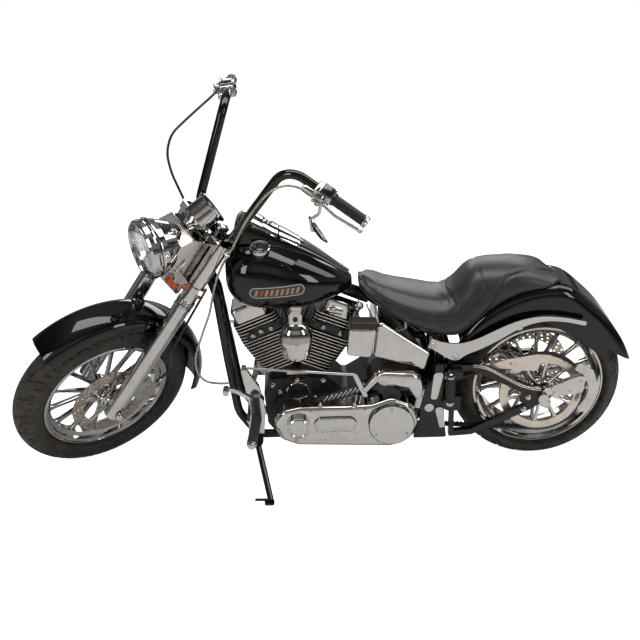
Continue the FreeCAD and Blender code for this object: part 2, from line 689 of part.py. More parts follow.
# Air cleaner on the right
ac = disc_y(CRANK_X, 560, FIN_HALF_Y + 32, FIN_HALF_Y + 92, 95)
ac = rounded(ac, 16, lambda e: abs(e.CenterOfMass.y - FIN_HALF_Y - 92) < 0.1)
root["air_cleaner"] = join([ac, disc_y(CRANK_X, 560, FIN_HALF_Y + SEAT_GAP, FIN_HALF_Y + 10, 90), disc_y(CRANK_X, 560, FIN_HALF_Y + 8, FIN_HALF_Y + 34, 60)])

# Exhaust pipes on the right
EX_R = 23.0
MUFFLER_R = 34.0
MUFFLER_Y = ARM_OUT + 41
EX_LOW = 190.0
EX_HIGH = 264.0
ex1 = pipe([V(-1084, FIN_HALF_Y + SEAT_GAP, 586), V(-1084, 134, 586), V(-1074, 168, 470), V(-985, 178, EX_LOW + 20),
            V(-800, MUFFLER_Y, EX_LOW), V(-560, MUFFLER_Y, EX_LOW)], [34, 70, 110, 120], EX_R)
ex2 = pipe([V(-706, FIN_HALF_Y + SEAT_GAP, 586), V(-706, 134, 586), V(-668, 176, 480), V(-610, MUFFLER_Y, EX_HIGH + 6),
            V(-560, MUFFLER_Y, EX_HIGH), V(-500, MUFFLER_Y, EX_HIGH)], [34, 70, 80, 60], EX_R)
ex1 = join([ex1, rod(V(-561, MUFFLER_Y, EX_LOW), V(60, MUFFLER_Y, EX_LOW), MUFFLER_R)])
ex2 = join([ex2, rod(V(-501, MUFFLER_Y, EX_HIGH), V(-40, MUFFLER_Y, EX_HIGH), MUFFLER_R)])
ex1 = ex1.cut(rod(V(20, MUFFLER_Y, EX_LOW), V(80, MUFFLER_Y, EX_LOW), MUFFLER_R - 5))
ex2 = ex2.cut(rod(V(-80, MUFFLER_Y, EX_HIGH), V(0, MUFFLER_Y, EX_HIGH), MUFFLER_R - 5))
hanger_bar = box(-388, -356, RAIL_Y, MUFFLER_Y, 214, 240)
pipes = join([ex1, ex2, hanger_bar])
for tube in frame_room:
    pipes = pipes.cut(tube)
root["exhaust_pipes"] = max(pipes.Solids, key=lambda q: q.Volume)

# Horn cover
HORN_OUT = 214.0
horn = plate_y([(CRANK_X - 51, 590), (CRANK_X - 42, 520), (CRANK_X, 508), (CRANK_X + 40, 518), (CRANK_X + 50, 590),
                (CRANK_X + 34, 640), (CRANK_X, 657), (CRANK_X - 34, 640)], -HORN_OUT, -150, [20, 12, 30, 12, 20, 26, 40, 26])
horn = rounded(horn, 14, lambda e: abs(e.CenterOfMass.y + HORN_OUT) < 0.1)
horn = join([horn, plate_y([(CRANK_X - 19, 630), (CRANK_X + 19, 630), (CRANK_X + 19, 680), (CRANK_X + 8, 694),
                            (CRANK_X - 8, 694), (CRANK_X - 19, 680)], -186, -160, 6),
             disc_y(CRANK_X, 532, -152, -FIN_HALF_Y - 4, 14),
             box(CRANK_X - 80, CRANK_X + 80, -FIN_HALF_Y - 8, -FIN_HALF_Y - SEAT_GAP, 522, 542)])
root["horn"] = horn

# Oil tank and battery cover
OIL_HALF = 148.0
oil = plate_y([(-604, 642), (-622, 492), (-432, 432), (-412, 505)], -OIL_HALF, OIL_HALF, 16)
oil = rounded(oil, 14, lambda e: abs(abs(e.CenterOfMass.y) - OIL_HALF) < 0.1)
oil = join([oil, rod(V(-500, -64, 570), V(-500, -64, 616), 9), rod(V(-500, 64, 570), V(-500, 64, 616), 9)])
for tube in frame_room:
    oil = oil.cut(tube)
root["oil_tank"] = max(oil.Solids, key=lambda q: q.Volume)
bat = plate_y([(-708, 622), (-716, 518), (-630, 506), (-610, 618)], -174, -112, 13)
bat = rounded(bat, 8, lambda e: abs(e.CenterOfMass.y + 174) < 0.1)
oil_grown = plate_y([(-604 - SEAT_GAP, 680), (-604 - SEAT_GAP, 642), (-622 - SEAT_GAP, 492), (-400, 480), (-400, 680)], -200, 200)
root["battery_cover"] = join([bat, box(-640, -600, -140, -122, 540, 596).cut(oil_grown)])

# Fuel tank
tank_stations = [
    (-1136, 765, 852, 60, 810), (-1122, 715, 880, 110, 795), (-1085, 684, 906, 142, 780),
    (-1010, 668, 922, 162, 768), (-930, 668, 900, 163, 760), (-850, 675, 862, 146, 752),
    (-775, 690, 818, 112, 748), (-718, 706, 776, 66, 742), (-690, 720, 754, 26, 738)]
tank = Part.makeLoft([loop_section(x, a, b, h, c, 2.5) for x, a, b, h, c in tank_stations], True, False)
tunnel_pts = [(-1200, 600), (-600, 600), (-600, 690), (-800, 742 + BACKBONE_R + 2), (-1090, 842 + BACKBONE_R + 2), (-1200, 905)]
tank = tank.cut(plate_y(tunnel_pts, -BACKBONE_R - 8, BACKBONE_R + 8))
tank = tank.cut(rocker_cover(-1, 1.0)).cut(rocker_cover(1, 1.0))
for tube in frame_room:
    tank = tank.cut(tube)


# Tank console and caps, each let into the tank by its own outline


def console_loft(grow):
    rows = [(-1102, 888, 948, 40, 916), (-1070, 874, 1004, 62, 925), (-1025, 864, 995, 65, 915),
            (-940, 846, 944, 58, 884), (-860, 822, 896, 42, 850), (-780, 780, 838, 27, 808), (-700, 742, 778, 14, 758)]
    sections = []
    for k, (x, a, b, h, c) in enumerate(rows):
        x += -grow if k == 0 else (grow if k == len(rows) - 1 else 0)
        sections.append(loop_section(x, a - grow, b + grow, h + grow, c, 2.6))
    return Part.makeLoft(sections, True, False)


def tank_cap(side, grow):
    c = V(-1010, side * 100, 905)
    d = unit(V(0, side * 0.30, 1))
    return rod(c - d * (26 + grow), c + d * 8, 34 + grow)


tunnel = plate_y(tunnel_pts, -BACKBONE_R - 8, BACKBONE_R + 8)
caps = []
cap_room = []
for side in (-1, 1):
    tank = tank.cut(tank_cap(side, SEAT_GAP))
    caps.append(tank_cap(side, 0.0))
    cap_room.append(tank_cap(side, 0.6))
tank = tank.cut(console_loft(0.8))
root["fuel_tank"] = max(tank.Solids, key=lambda q: q.Volume)
console = console_loft(0.0).cut(tunnel)
for tube in frame_room + cap_room:
    console = console.cut(tube)
console = max(console.Solids, key=lambda q: q.Volume)
root["tank_console"] = Part.makeCompound([console] + caps)

# Rear fender
crest = [(-318, 520), (-268, 600), (-190, 668), (-100, 715), (0, 738), (80, 728), (150, 677), (210, 620),
         (258, 560), (298, 500), (326, 440), (338, 405)]
depths = [60, 70, 90, 118, 140, 148, 140, 128, 112, 92, 66, 40]


def fender_body(inset, width_in, extend):
    """The fender's outside, or its inside where inset is its wall."""
    top = []
    low = []
    for k, (cx, cz) in enumerate(crest):
        a = crest[max(0, k - 1)]
        b = crest[min(len(crest) - 1, k + 1)]
        t = unit(V(b[0] - a[0], 0, b[1] - a[1]))
        n = V(t.z, 0, -t.x)
        p = V(cx, -REAR_FENDER_HALF + width_in, cz)
        slide = 0.0
        if extend > 0 and k == 0:
            slide = -extend
        if extend > 0 and k == len(crest) - 1:
            slide = extend
        top.append(p + n * inset + t * slide)
        low.append(p + n * (depths[k] + extend) + t * slide)
    c_top = Part.BSplineCurve()
    c_top.interpolate(top)
    c_low = Part.BSplineCurve()
    c_low.interpolate(low)
    wire = Part.Wire([c_top.toShape(), Part.makeLine(top[-1], low[-1]), c_low.toShape(), Part.makeLine(low[0], top[0])])
    body = Part.Face(wire).extrude(V(0, 2 * (REAR_FENDER_HALF - width_in), 0))
    mid = (crest[6][0], crest[6][1])
    picked = []
    for e in body.Edges:
        if abs(abs(e.CenterOfMass.y) - (REAR_FENDER_HALF - width_in)) < 0.2 and e.Length > 400:
            if min((v - V(crest[5][0], v.y, crest[5][1])).Length for v in e.discretize(60)) < 30:
                picked.append(e)
    return body.makeFillet(FENDER_SHOULDER - inset, picked)


FENDER_SHOULDER = 44.0
outer_body = fender_body(0.0, 0.0, 0.0)
inner_body = fender_body(FENDER_T, FENDER_T, 40.0)
fender_end = plate_y([(236, 487), (420, 374), (420, 300), (236, 300)], -200, 200)
outer_body = outer_body.cut(fender_end)
root["rear_fender"] = one(outer_body.cut(inner_body))

# Seat
seat_stations = [
    (-668, 716, 766, 46, 738), (-640, 690, 760, 84, 722), (-580, 640, 738, 118, 690), (-500, 592, 714, 140, 650),
    (-420, 560, 696, 150, 625), (-360, 540, 694, 150, 610), (-315, 534, 726, 144, 620), (-270, 556, 778, 136, 650),
    (-225, 592, 798, 130, 690), (-150, 660, 803, 126, 725), (-60, 700, 797, 120, 745), (16, 715, 768, 104, 742), (62, 722, 748, 70, 735)]
seat = Part.makeLoft([loop_section(x, a, b, h, c, 2.5) for x, a, b, h, c in seat_stations], True, False)
root["seat"] = seat

seat = seat.cut(fender_body(-0.9, -0.9, 0.0))
for tube in frame_tubes(0.8):
    seat = seat.cut(tube)
seat = seat.cut(plate_y([(-604 - SEAT_GAP, 642 + 0.8), (-622, 400), (-400, 400), (-412 + 0.8, 505 + 0.8)], -OIL_HALF - 1, OIL_HALF + 1))
seat = seat.cut(console_loft(0.7))
for side in (-64, 64):
    seat = seat.cut(rod(V(-500, side, 560), V(-500, side, 617), 10))
seat = max(seat.Solids, key=lambda q: q.Volume)
root["seat"] = seat

# Fender strut covers
strut_top = [(-413, 568), (-357, 548), (-303, 546), (-249, 562), (-196, 588), (-143, 614), (-90, 633), (-37, 642), (18, 641),
             (72, 633), (128, 620)]
strut_low = [(-425, 532), (-384, 508), (-345, 483), (-320, 478), (-294, 494), (-260, 510), (-207, 535), (-160, 562),
             (-112, 592), (-62, 614), (-8, 624), (46, 621), (90, 613), (124, 604)]


def strut_plate(y0, y1):
    """The strut cover's curved outline, from y0 to y1."""
    curve_a = Part.BSplineCurve()
    curve_a.interpolate([V(x, y0, z) for x, z in strut_top])
    curve_b = Part.BSplineCurve()
    curve_b.interpolate([V(x, y0, z) for x, z in reversed(strut_low)])
    a0 = V(strut_top[0][0], y0, strut_top[0][1])
    a1 = V(strut_top[-1][0], y0, strut_top[-1][1])
    b0 = V(strut_low[0][0], y0, strut_low[0][1])
    b1 = V(strut_low[-1][0], y0, strut_low[-1][1])
    nose = (a1 + b1) * 0.5 + V(9, 0, -2)
    wire = Part.Wire([curve_a.toShape(), Part.Arc(a1, nose, b1).toShape(), curve_b.toShape(), Part.makeLine(b0, a0)])
    return Part.Face(wire).extrude(V(0, y1 - y0, 0))


struts = []
for s in (-1, 1):
    struts.append(strut_plate(s * (REAR_FENDER_HALF + 22), s * (REAR_FENDER_HALF + 30)))
    struts.append(disc_y(-370, 512, s * RAIL_Y, s * (REAR_FENDER_HALF + 24), 14))
    struts.append(disc_y(-100, 598, s * (REAR_FENDER_HALF - 1), s * (REAR_FENDER_HALF + 24), 10))
    struts.append(disc_y(60, 608, s * (REAR_FENDER_HALF - 1), s * (REAR_FENDER_HALF + 24), 10))
strut_body = []
for k in (0, 4):
    body = join(struts[k:k + 4]).cut(root["rear_fender"]).cut(root["seat"])
    for tube in frame_room:
        body = body.cut(tube)
    strut_body.append(body)
strut_solids = []
for b in strut_body:
    strut_solids.append(max(b.Solids, key=lambda q: q.Volume))
root["fender_struts"] = Part.makeCompound(strut_solids)

# Belt guard
guard = plate_y([(-230, 428), (-190, 446), (-142, 465), (-27, 483), (19, 479), (58, 463), (94, 439), (112, 410), (96, 402),
                 (74, 426), (40, 446), (4, 455), (-14, 444), (-20, 416), (-72, 418), (-131, 427), (-190, 430),
                 (-228, 414)], -ARM_IN + 1, -ARM_IN + 3.5, 9)
root["belt_guard"] = guard.cut(root["swingarm"])

# Axle cover and plate bracket on the left
axle_cover = plate_y([(22, 372), (40, 330), (140, 346), (146, 410), (120, 414)], -ARM_OUT - 22, -ARM_OUT - SEAT_GAP, 12)
bracket = flat_bar([(140, 262), (172, 310), (182, 360), (160, 420), (112, 450)], -ARM_OUT - 12, -ARM_OUT - 8, 34, 10)
bracket = join([bracket, flat_bar([(0, rz + 12), (150, 420)], -ARM_OUT - 8, -ARM_OUT - SEAT_GAP, 30, 6)])
bracket = join([bracket, axle_cover]).cut(disc_y(0, rz, -300, 0, 19 + SEAT_GAP))
root["plate_bracket"] = max(bracket.Solids, key=lambda q: q.Volume)

# Rear caliper on the right
cal_pts = []
for r, deg in ((96, 138), (172, 138), (172, 166), (96, 166)):
    cal_pts.append((r * math.cos(math.radians(deg)), rz + r * math.sin(math.radians(deg))))
cal = plate_y(cal_pts, REAR_DISC_Y - 18, ARM_IN - SEAT_GAP, 12)
cal = cal.cut(disc_y(0, rz, REAR_DISC_Y - DISC_T / 2 - 5, REAR_DISC_Y + DISC_T / 2 + 5, DISC_R + 5))
root["rear_caliper"] = max(cal.Solids, key=lambda q: q.Volume)

# Forward controls
controls = []
for s in (-1, 1):
    parts = []
    parts.append(plate_y([(-1078, 240), (-1020, 235), (-1010, 330), (-1030, 430), (-1075, 505), (-1092, 500), (-1062, 330)],
                         s * 206, s * 228, 8))
    parts.append(rod(V(-1086, s * (RAIL_Y - 4), 222), V(-1060, s * 210, 262), 12))
    parts.append(disc_y(-1040, 372, s * 206, s * 240, 26))
    if s < 0:
        parts.append(rod(V(-1082, -204, 498), V(-688, -184, 447), 5))
        parts.append(disc_y(-1082, 498, -210, -196, 9))
        parts.append(flat_bar([(-688, 447), (-650, 360)], -190, -182, 16, 5))
        parts.append(disc_y(-650, 360, -184, -CASE_HALF - SEAT_GAP, 7))
        parts.append(flat_bar([(-1040, 372), (-1110, 420), (-1146, 432)], -236, -228, 14, 5))
        parts.append(disc_y(-1146, 432, -268, -228, 11))
    else:
        parts.append(flat_bar([(-1040, 372), (-1100, 440), (-1150, 470)], 228, 236, 14, 5))
        parts.append(box(-1180, -1130, 226, 290, 464, 478))
    body = join(parts)
    for tube in frame_room:
        body = body.cut(tube)
    controls.append(max(body.Solids, key=lambda q: q.Volume))
root["forward_controls"] = Part.makeCompound(controls)
pegs = []
for s in (-1, 1):
    pegs.append(rod(V(-1043, s * 215, 300), V(-1056, s * 400, 305), 18).cut(box(-1200, -900, -228.3, 228.3, 200, 400)))
    peg_y = s * (ARM_OUT + 17)
    lug_y = (s * (ARM_OUT + SEAT_GAP), s * (ARM_OUT + 24))
    pegs.append(join([rod(V(-343, peg_y, 302), V(-343, peg_y, 438), 15),
                      box(-343, -300, min(lug_y), max(lug_y), 418, 444)]))
root["foot_pegs"] = Part.makeCompound(pegs)
cover_in = -PLATE_IN - PLATE_T - SEAT_GAP
cover_out = cover_in - 5
root["pivot_covers"] = Part.makeCompound([
    plate_y([(-399, 423), (-362, 427), (-385, 313), (-409, 313)], cover_out, cover_in, [16, 16, 10, 10]),
    plate_y([(-393, 278), (-360, 278), (-352, 193), (-371, 189)], cover_out, cover_in, [14, 14, 8, 8]),
    disc_y(-413, 278, cover_out, cover_in, 17)])

# Fork and steering
clamp_parts = []
for s0, h in ((LOWER_CLAMP_S, LOWER_CLAMP_H), (UPPER_CLAMP_S, UPPER_CLAMP_H)):
    corners = [(-30, -24), (FORK_OFFSET - 32, -LEG_Y - 34), (FORK_OFFSET + 34, -LEG_Y - 34), (FORK_OFFSET + 34, LEG_Y + 34),
               (FORK_OFFSET - 32, LEG_Y + 34), (-30, 24)]
    wire = outline_wire(corners, 26, lambda t, y: fork_point(s0, t, y))
    clamp_parts.append(Part.Face(wire).extrude(AXIS_UP * h))
clamp_parts.append(rod(fork_point(LOWER_CLAMP_S, 0), fork_point(UPPER_CLAMP_S + UPPER_CLAMP_H + 8, 0), STEM_R))
LEG_IN_R = COVER_R - 6
clamp = join(clamp_parts)
for s in (-1, 1):
    clamp = clamp.cut(rod(fork_point(LOWER_CLAMP_S - 5, FORK_OFFSET, s * LEG_Y),
                          fork_point(UPPER_CLAMP_S + UPPER_CLAMP_H + 5, FORK_OFFSET, s * LEG_Y), LEG_IN_R + RUN_GAP))
bar_mid = V(BAR_LOW.x, 0, BAR_LOW.z)
bar_s = (bar_mid - AXIS_FOOT).dot(AXIS_UP)
bar_t = (bar_mid - AXIS_FOOT).dot(AXIS_FWD)
risers = []
for s in (-1, 1):
    risers.append(rod(fork_point(UPPER_CLAMP_S + UPPER_CLAMP_H - 1, bar_t, s * 45), fork_point(bar_s + 6, bar_t, s * 45), 21))
clamp = join([clamp] + risers)
clamp = clamp.cut(rod(bar_mid - Y1 * 120, bar_mid + Y1 * 120, BAR_R + RUN_GAP))
steer["triple_clamps"] = one(clamp)

legs = []
sliders = []
slider_room = []
for s in (-1, 1):
    y = s * LEG_Y
    tube = rod(fork_point(SLIDER_TOP + SEAT_GAP, FORK_OFFSET, y), fork_point(UPPER_CLAMP_S + UPPER_CLAMP_H - 9, FORK_OFFSET, y), LEG_IN_R)
    tube = join([tube, rod(fork_point(SLIDER_TOP + 6, FORK_OFFSET, y), fork_point(LOWER_CLAMP_S - SEAT_GAP, FORK_OFFSET, y), COVER_R),
                 rod(fork_point(LOWER_CLAMP_S + LOWER_CLAMP_H + SEAT_GAP, FORK_OFFSET, y),
                     fork_point(UPPER_CLAMP_S - SEAT_GAP, FORK_OFFSET, y), COVER_R)])
    legs.append(tube)
    slider = rod(fork_point(-26, FORK_OFFSET, y), fork_point(SLIDER_TOP, FORK_OFFSET, y), SLIDER_R)
    slider = slider.cut(disc_y(fx, fz, -300, 300, AXLE_R + RUN_GAP))
    sliders.append(slider)
    slider_room.append(rod(fork_point(-26, FORK_OFFSET, y), fork_point(SLIDER_TOP, FORK_OFFSET, y), SLIDER_R + SEAT_GAP))
steer["fork_tubes"] = Part.makeCompound(legs)
steer["fork_sliders"] = Part.makeCompound(sliders)
FRONT_AXLE_HALF = LEG_Y + 36
steer["front_axle"] = join([disc_y(fx, fz, -FRONT_AXLE_HALF, FRONT_AXLE_HALF, AXLE_R),
                            disc_y(fx, fz, LEG_Y + SLIDER_R + SEAT_GAP, FRONT_AXLE_HALF + 6, 17)])

# Front fender
def fender_profile():
    half = FRONT_FENDER_HALF
    ro = FRONT_FENDER_R
    re = FRONT_FENDER_EDGE_R
    t = FENDER_T
    pts = [(re, -half), (ro - 40, -half), (ro - 22, -half + 7), (ro - 8, -half + 26), (ro - 2, -half + 50), (ro, 0)]
    pts += [(r, -y) for r, y in pts[:-1][::-1]]
    inner = [(re, -half + t), (ro - 41, -half + t), (ro - 24.5, -half + 10), (ro - 11, -half + 28), (ro - 5, -half + 51), (ro - t, 0)]
    inner += [(r, -y) for r, y in inner[:-1][::-1]]
    a = math.radians(FRONT_FENDER_REAR_DEG)
    def place(r, y):
        return V(fx + r * math.cos(a), y, fz + r * math.sin(a))
    outer_pts = [place(*p) for p in pts]
    inner_pts = [place(*p) for p in inner]
    co = Part.BSplineCurve()
    co.interpolate(outer_pts)
    ci = Part.BSplineCurve()
    ci.interpolate(inner_pts[::-1])
    return Part.Wire([co.toShape(), Part.makeLine(outer_pts[-1], inner_pts[-1]), ci.toShape(), Part.makeLine(inner_pts[0], outer_pts[0])])


sweep = FRONT_FENDER_NOSE_DEG - FRONT_FENDER_REAR_DEG
ff = Part.Face(fender_profile()).revolve(V(fx, 0, fz), V(0, -1, 0), sweep)
brace = []
for s in (-1, 1):
    brace.append(rod(fork_point(366, FORK_OFFSET, s * (FRONT_FENDER_HALF - 2)), fork_point(366, FORK_OFFSET, s * (LEG_Y - SLIDER_R + 8)), 14).cut(slider_room[0]).cut(slider_room[1]))
ff = join([ff] + [one(b) for b in brace])
steer["front_fender"] = ff

# Front caliper behind the left leg
cal_c = V(fx, 0, fz)
a0 = math.radians(-8)
a1 = math.radians(28)
pts = [(fx + DISC_R * 0.62 * math.cos(a0), fz + DISC_R * 0.62 * math.sin(a0)), (fx + DISC_R * 1.2 * math.cos(a0), fz + DISC_R * 1.2 * math.sin(a0)),
       (fx + DISC_R * 1.2 * math.cos(a1), fz + DISC_R * 1.2 * math.sin(a1)), (fx + DISC_R * 0.62 * math.cos(a1), fz + DISC_R * 0.62 * math.sin(a1))]
cal = plate_y(pts, -FRONT_DISC_Y - 30, -FRONT_DISC_Y + 12, 12)
cal = cal.cut(disc_y(fx, fz, -FRONT_DISC_Y - DISC_T / 2 - 5, -FRONT_DISC_Y + DISC_T / 2 + 5, DISC_R + 5))
mount_bar = flat_bar([(fx + 40, fz + 60), (fx + 120, fz + 62)], -LEG_Y + 6, -FRONT_DISC_Y - 16, 34, 6)
cal = join([cal, mount_bar])
cal = cal.cut(slider_room[0])
steer["front_caliper"] = max(cal.Solids, key=lambda q: q.Volume)

# Headlamp
LAMP_R = 106.0
LAMP_FACE = V(-1448, 0, 963)
LAMP_LEN = 158.0
back = V(1, 0, 0)
lamp_prof = [(LAMP_R - 13, 2), (LAMP_R - 7, -5), (LAMP_R - 1, 2), (LAMP_R, 18), (LAMP_R - 4, 26), (LAMP_R - 10, 60), (LAMP_R - 32, 105), (LAMP_R - 62, 140),
             (20, LAMP_LEN), (0, LAMP_LEN), (0, LAMP_LEN - 6), (18, LAMP_LEN - 6), (LAMP_R - 67, 136), (LAMP_R - 37, 102), (LAMP_R - 15, 58), (LAMP_R - 13, 24), (LAMP_R - 13, 12)]
lamp = spun(lamp_prof, LAMP_FACE, back, Z1)
lamp_room = spun([(0, -10), (LAMP_R + 1, -10), (LAMP_R + 1, 22), (LAMP_R - 9, 61), (LAMP_R - 31, 106), (LAMP_R - 60, 142), (22, LAMP_LEN + 1), (0, LAMP_LEN + 1)], LAMP_FACE, back, Z1)
lamp_neck = rod(V(-1340, 0, 880), fork_point(LOWER_CLAMP_S + LOWER_CLAMP_H + 24, FORK_OFFSET + 34, 0), 16)
ear = box(-1346, -1320, -LEG_Y + COVER_R - 2, LEG_Y - COVER_R + 2, 905, 955)
lamp = join([lamp, lamp_neck.cut(spun([(0, -5), (LAMP_R - 12, -5), (LAMP_R - 16, 58), (LAMP_R - 38, 102), (0, LAMP_LEN)], LAMP_FACE, back, Z1))])
lamp = lamp.cut(steer["triple_clamps"])
steer["headlamp"] = max(lamp.Solids, key=lambda q: q.Volume)
LENS_R = LAMP_R - 13 - SEAT_GAP
lens_prof = [(0, -1), (40, 0), (75, 4), (LENS_R, 9), (LENS_R, 13), (75, 9), (40, 5), (0, 4)]
steer["headlamp_lens"] = spun(lens_prof, LAMP_FACE, back, Z1)

# Wedge cover between the fork legs, with an orange marker each side
wy = LEG_Y - COVER_R - SEAT_GAP
wedge = []
NACELLE_FRONT = FORK_OFFSET + 128
wire = outline_wire([(SLIDER_TOP + 8, FORK_OFFSET + 20), (LOWER_CLAMP_S + 14, NACELLE_FRONT),
                     (UPPER_CLAMP_S - 40, NACELLE_FRONT), (UPPER_CLAMP_S - 4, FORK_OFFSET + 96), (UPPER_CLAMP_S - 4, FORK_OFFSET + 8)],
                    10, lambda s, t: fork_point(s, t, -wy))
wedge = Part.Face(wire).extrude(V(0, 2 * wy, 0))
wedge = wedge.cut(steer["triple_clamps"]).cut(lamp_room).cut(rod(V(-1340, 0, 880), fork_point(LOWER_CLAMP_S + LOWER_CLAMP_H + 24, FORK_OFFSET + 34, 0), 16.3))
steer["fork_shroud"] = max(wedge.Solids, key=lambda q: q.Volume)
lenses = []
for s in (-1, 1):
    y_in = s * (wy + SEAT_GAP)
    lens_line = []
    edge_s = LOWER_CLAMP_S + 14 - (SLIDER_TOP + 8)
    edge_t = NACELLE_FRONT - (FORK_OFFSET + 20)
    edge_len = math.hypot(edge_s, edge_t)
    for u, w in ((0.34, 7.0), (0.80, 7.0), (0.80, 25.0), (0.34, 25.0)):
        at_s = SLIDER_TOP + 8 + edge_s * u + w * edge_t / edge_len
        at_t = FORK_OFFSET + 20 + edge_t * u - w * edge_s / edge_len
        lens_line.append(fork_point(at_s, at_t, y_in))
    lens_face = Part.Face(Part.makePolygon(lens_line + [lens_line[0]]))
    lenses.append(lens_face.extrude(V(0, s * 8, 0)))
steer["marker_lenses"] = Part.makeCompound(lenses)

# Gauge cup above the upper clamp
GAUGE_R = 53.0
g_face = V(-1179, 0, 1059)
g_axis = unit(V(math.cos(math.radians(28)), 0, math.sin(math.radians(28))))
g_side = V(-g_axis.z, 0, g_axis.x)
cup = spun([(0, -116), (22, -114), (30, -98), (GAUGE_R - 5, -84), (GAUGE_R, -76), (GAUGE_R, -14), (GAUGE_R + 8, -10),
            (GAUGE_R + 9, -2), (GAUGE_R + 4, 2), (GAUGE_R - 3, -4), (0, -4)], g_face, g_axis, g_side)
stalk = rod(fork_point(UPPER_CLAMP_S + UPPER_CLAMP_H - 2, FORK_OFFSET + 26), g_face - g_axis * 88 - g_side * 20, 15)
cup = cup.cut(steer["triple_clamps"]).cut(steer["fork_shroud"])
cup = max(cup.Solids, key=lambda q: q.Volume)
stalk = stalk.cut(steer["triple_clamps"])
stalk = stalk.cut(rod(bar_mid - Y1 * 120, bar_mid + Y1 * 120, BAR_R + 1))
gauge = join([cup, max(stalk.Solids, key=lambda q: q.Volume)])
steer["gauge"] = one(gauge)

# Handlebar
bar_line = []
for p in (BAR_END, BAR_TOP, BAR_LOW):
    bar_line.append(flip(p))
for p in (BAR_LOW, BAR_TOP, BAR_END):
    bar_line.append(p)
grip_dir = unit(BAR_END - BAR_TOP)
thick_end = BAR_END - grip_dir * (GRIP_LEN + 2)
thick_line = [flip(thick_end), flip(BAR_TOP), flip(BAR_LOW), BAR_LOW, BAR_TOP, thick_end]
bar = pipe(thick_line, [BAR_TOP_BEND, BAR_LOW_BEND, BAR_LOW_BEND, BAR_TOP_BEND], BAR_R)
for m in (lambda p: p, flip):
    bar = join([bar, rod(m(thick_end - grip_dir * 2), m(BAR_END), BAR_GRIP_R)])
steer["handlebar"] = bar
grips = []
for m in (lambda p: p, flip):
    grip = rod(m(thick_end + grip_dir * SEAT_GAP), m(BAR_END + grip_dir * 4), GRIP_R)
    grip = grip.cut(rod(m(thick_end - grip_dir * 4), m(BAR_END + grip_dir * 0.1), BAR_GRIP_R + RUN_GAP))
    grips.append(grip)
steer["grips"] = Part.makeCompound(grips)

# Hand controls with levers, and the left mirror
hands = []
cable_starts = []
cable_dirs = []
for s in (-1, 1):
    m = flip if s < 0 else (lambda p: p)
    gd = m(grip_dir)
    c = m(BAR_END - grip_dir * (GRIP_LEN + 26))
    fwd = unit(V(-1, 0, 0) - gd * V(-1, 0, 0).dot(gd))
    down = unit(V(0, 0, -1) - gd * V(0, 0, -1).dot(gd))
    fwd = unit(fwd - down * fwd.dot(down))
    housing = rod(c - gd * 22, c + gd * 22, 26)
    perch = rod(c + fwd * 8, c + fwd * 46 + gd * 2, 12)
    lev0 = c + fwd * 46 + gd * 2
    lev1 = lev0 + gd * 60 + fwd * 8 + down * 4
    lev2 = m(BAR_END) + fwd * 40 + down * 8
    lever = pipe([lev0, lev1, lev2], 60, 6)
    ball = Part.makeSphere(9, lev2)
    body = join([housing, perch, lever, ball])
    if s > 0:
        boss_c = c + fwd * 26
        boss_up = down * -1.0
        body = join([body, rod(boss_c + boss_up * 2, boss_c + boss_up * 26, 9.5)])
        body = body.cut(rod(boss_c + boss_up * 12, boss_c + boss_up * 30, MIRROR_HOLE_R))
        MIRROR_POINT = boss_c + boss_up * 19
        MIRROR_UP = boss_up
    body = body.cut(rod(m(BAR_TOP), m(BAR_END), BAR_R + RUN_GAP))
    cable_starts.append(c + fwd * 38 - gd * (12.5 + SEAT_GAP))
    cable_dirs.append(gd)
    hands.append(max(body.Solids, key=lambda q: q.Volume))
steer["hand_controls"] = Part.makeCompound(hands)

gd = flip(grip_dir)
c = flip(BAR_END - grip_dir * (GRIP_LEN + 26))
fwd = unit(V(-1, 0, 0) - gd * V(-1, 0, 0).dot(gd))
m_c = V(-968, -330, 1129)
stem = pipe([c + fwd * 34, c + fwd * 40 + V(0, 0, -46), m_c + V(-26, 12, 44)], 20, 5)
m_n = unit(V(0.86, -0.10, 0.5))
glass_side = unit(V(-0.5, 0, 0.86) - m_n * V(-0.5, 0, 0.86).dot(m_n))
head = spun([(0, -14), (30, -12), (50, -4), (53, 0), (53, 4), (0, 4)], m_c, m_n, glass_side)
stem2 = pipe([m_c + V(-26, 12, 44), m_c - m_n * 22 + V(0, 4, 8), m_c - m_n * 8], 8, 5)
mirror = join([head, stem, stem2])
mirror = mirror.cut(hands[0])
steer["mirror"] = max(mirror.Solids, key=lambda q: q.Volume)

# Side stand, pivot axis across the bike


def solve_rest():
    """Pitch, height and stand leg end for both tyres and the foot on the floor."""
    lock = FreeCAD.Rotation(AXIS_UP, STEERING_LOCK)
    axle = AXIS_FOOT + lock.multVec(FRONT_AXLE - AXIS_FOOT)
    axle_dir = lock.multVec(Y1)

    def lowest(rot, centre, direction, r_out, crown):
        c = rot.multVec(centre)
        d = rot.multVec(direction)
        return c.z - (r_out - crown) * math.sqrt(max(0.0, 1 - d.z * d.z)) - crown

    def gap(pitch):
        rot = FreeCAD.Rotation(X1, LEAN).multiply(FreeCAD.Rotation(Y1, pitch))
        front = lowest(rot, axle, axle_dir, FRONT_TYRE_R, FRONT_CROWN_R)
        rear = lowest(rot, V(0, 0, REAR_AXLE_Z), Y1, REAR_TYRE_R, REAR_CROWN_R)
        return front - rear, rot, rear

    lo = -6.0
    hi = 6.0
    g_lo = gap(lo)[0]
    for _ in range(50):
        mid = (lo + hi) / 2
        g = gap(mid)[0]
        if (g > 0) == (g_lo > 0):
            lo = mid
        else:
            hi = mid
    pitch = (lo + hi) / 2
    _, rot, rear = gap(pitch)
    return pitch, rot, -rear, lock


PITCH, REST_ROT, LIFT, LOCK_ROT = solve_rest()


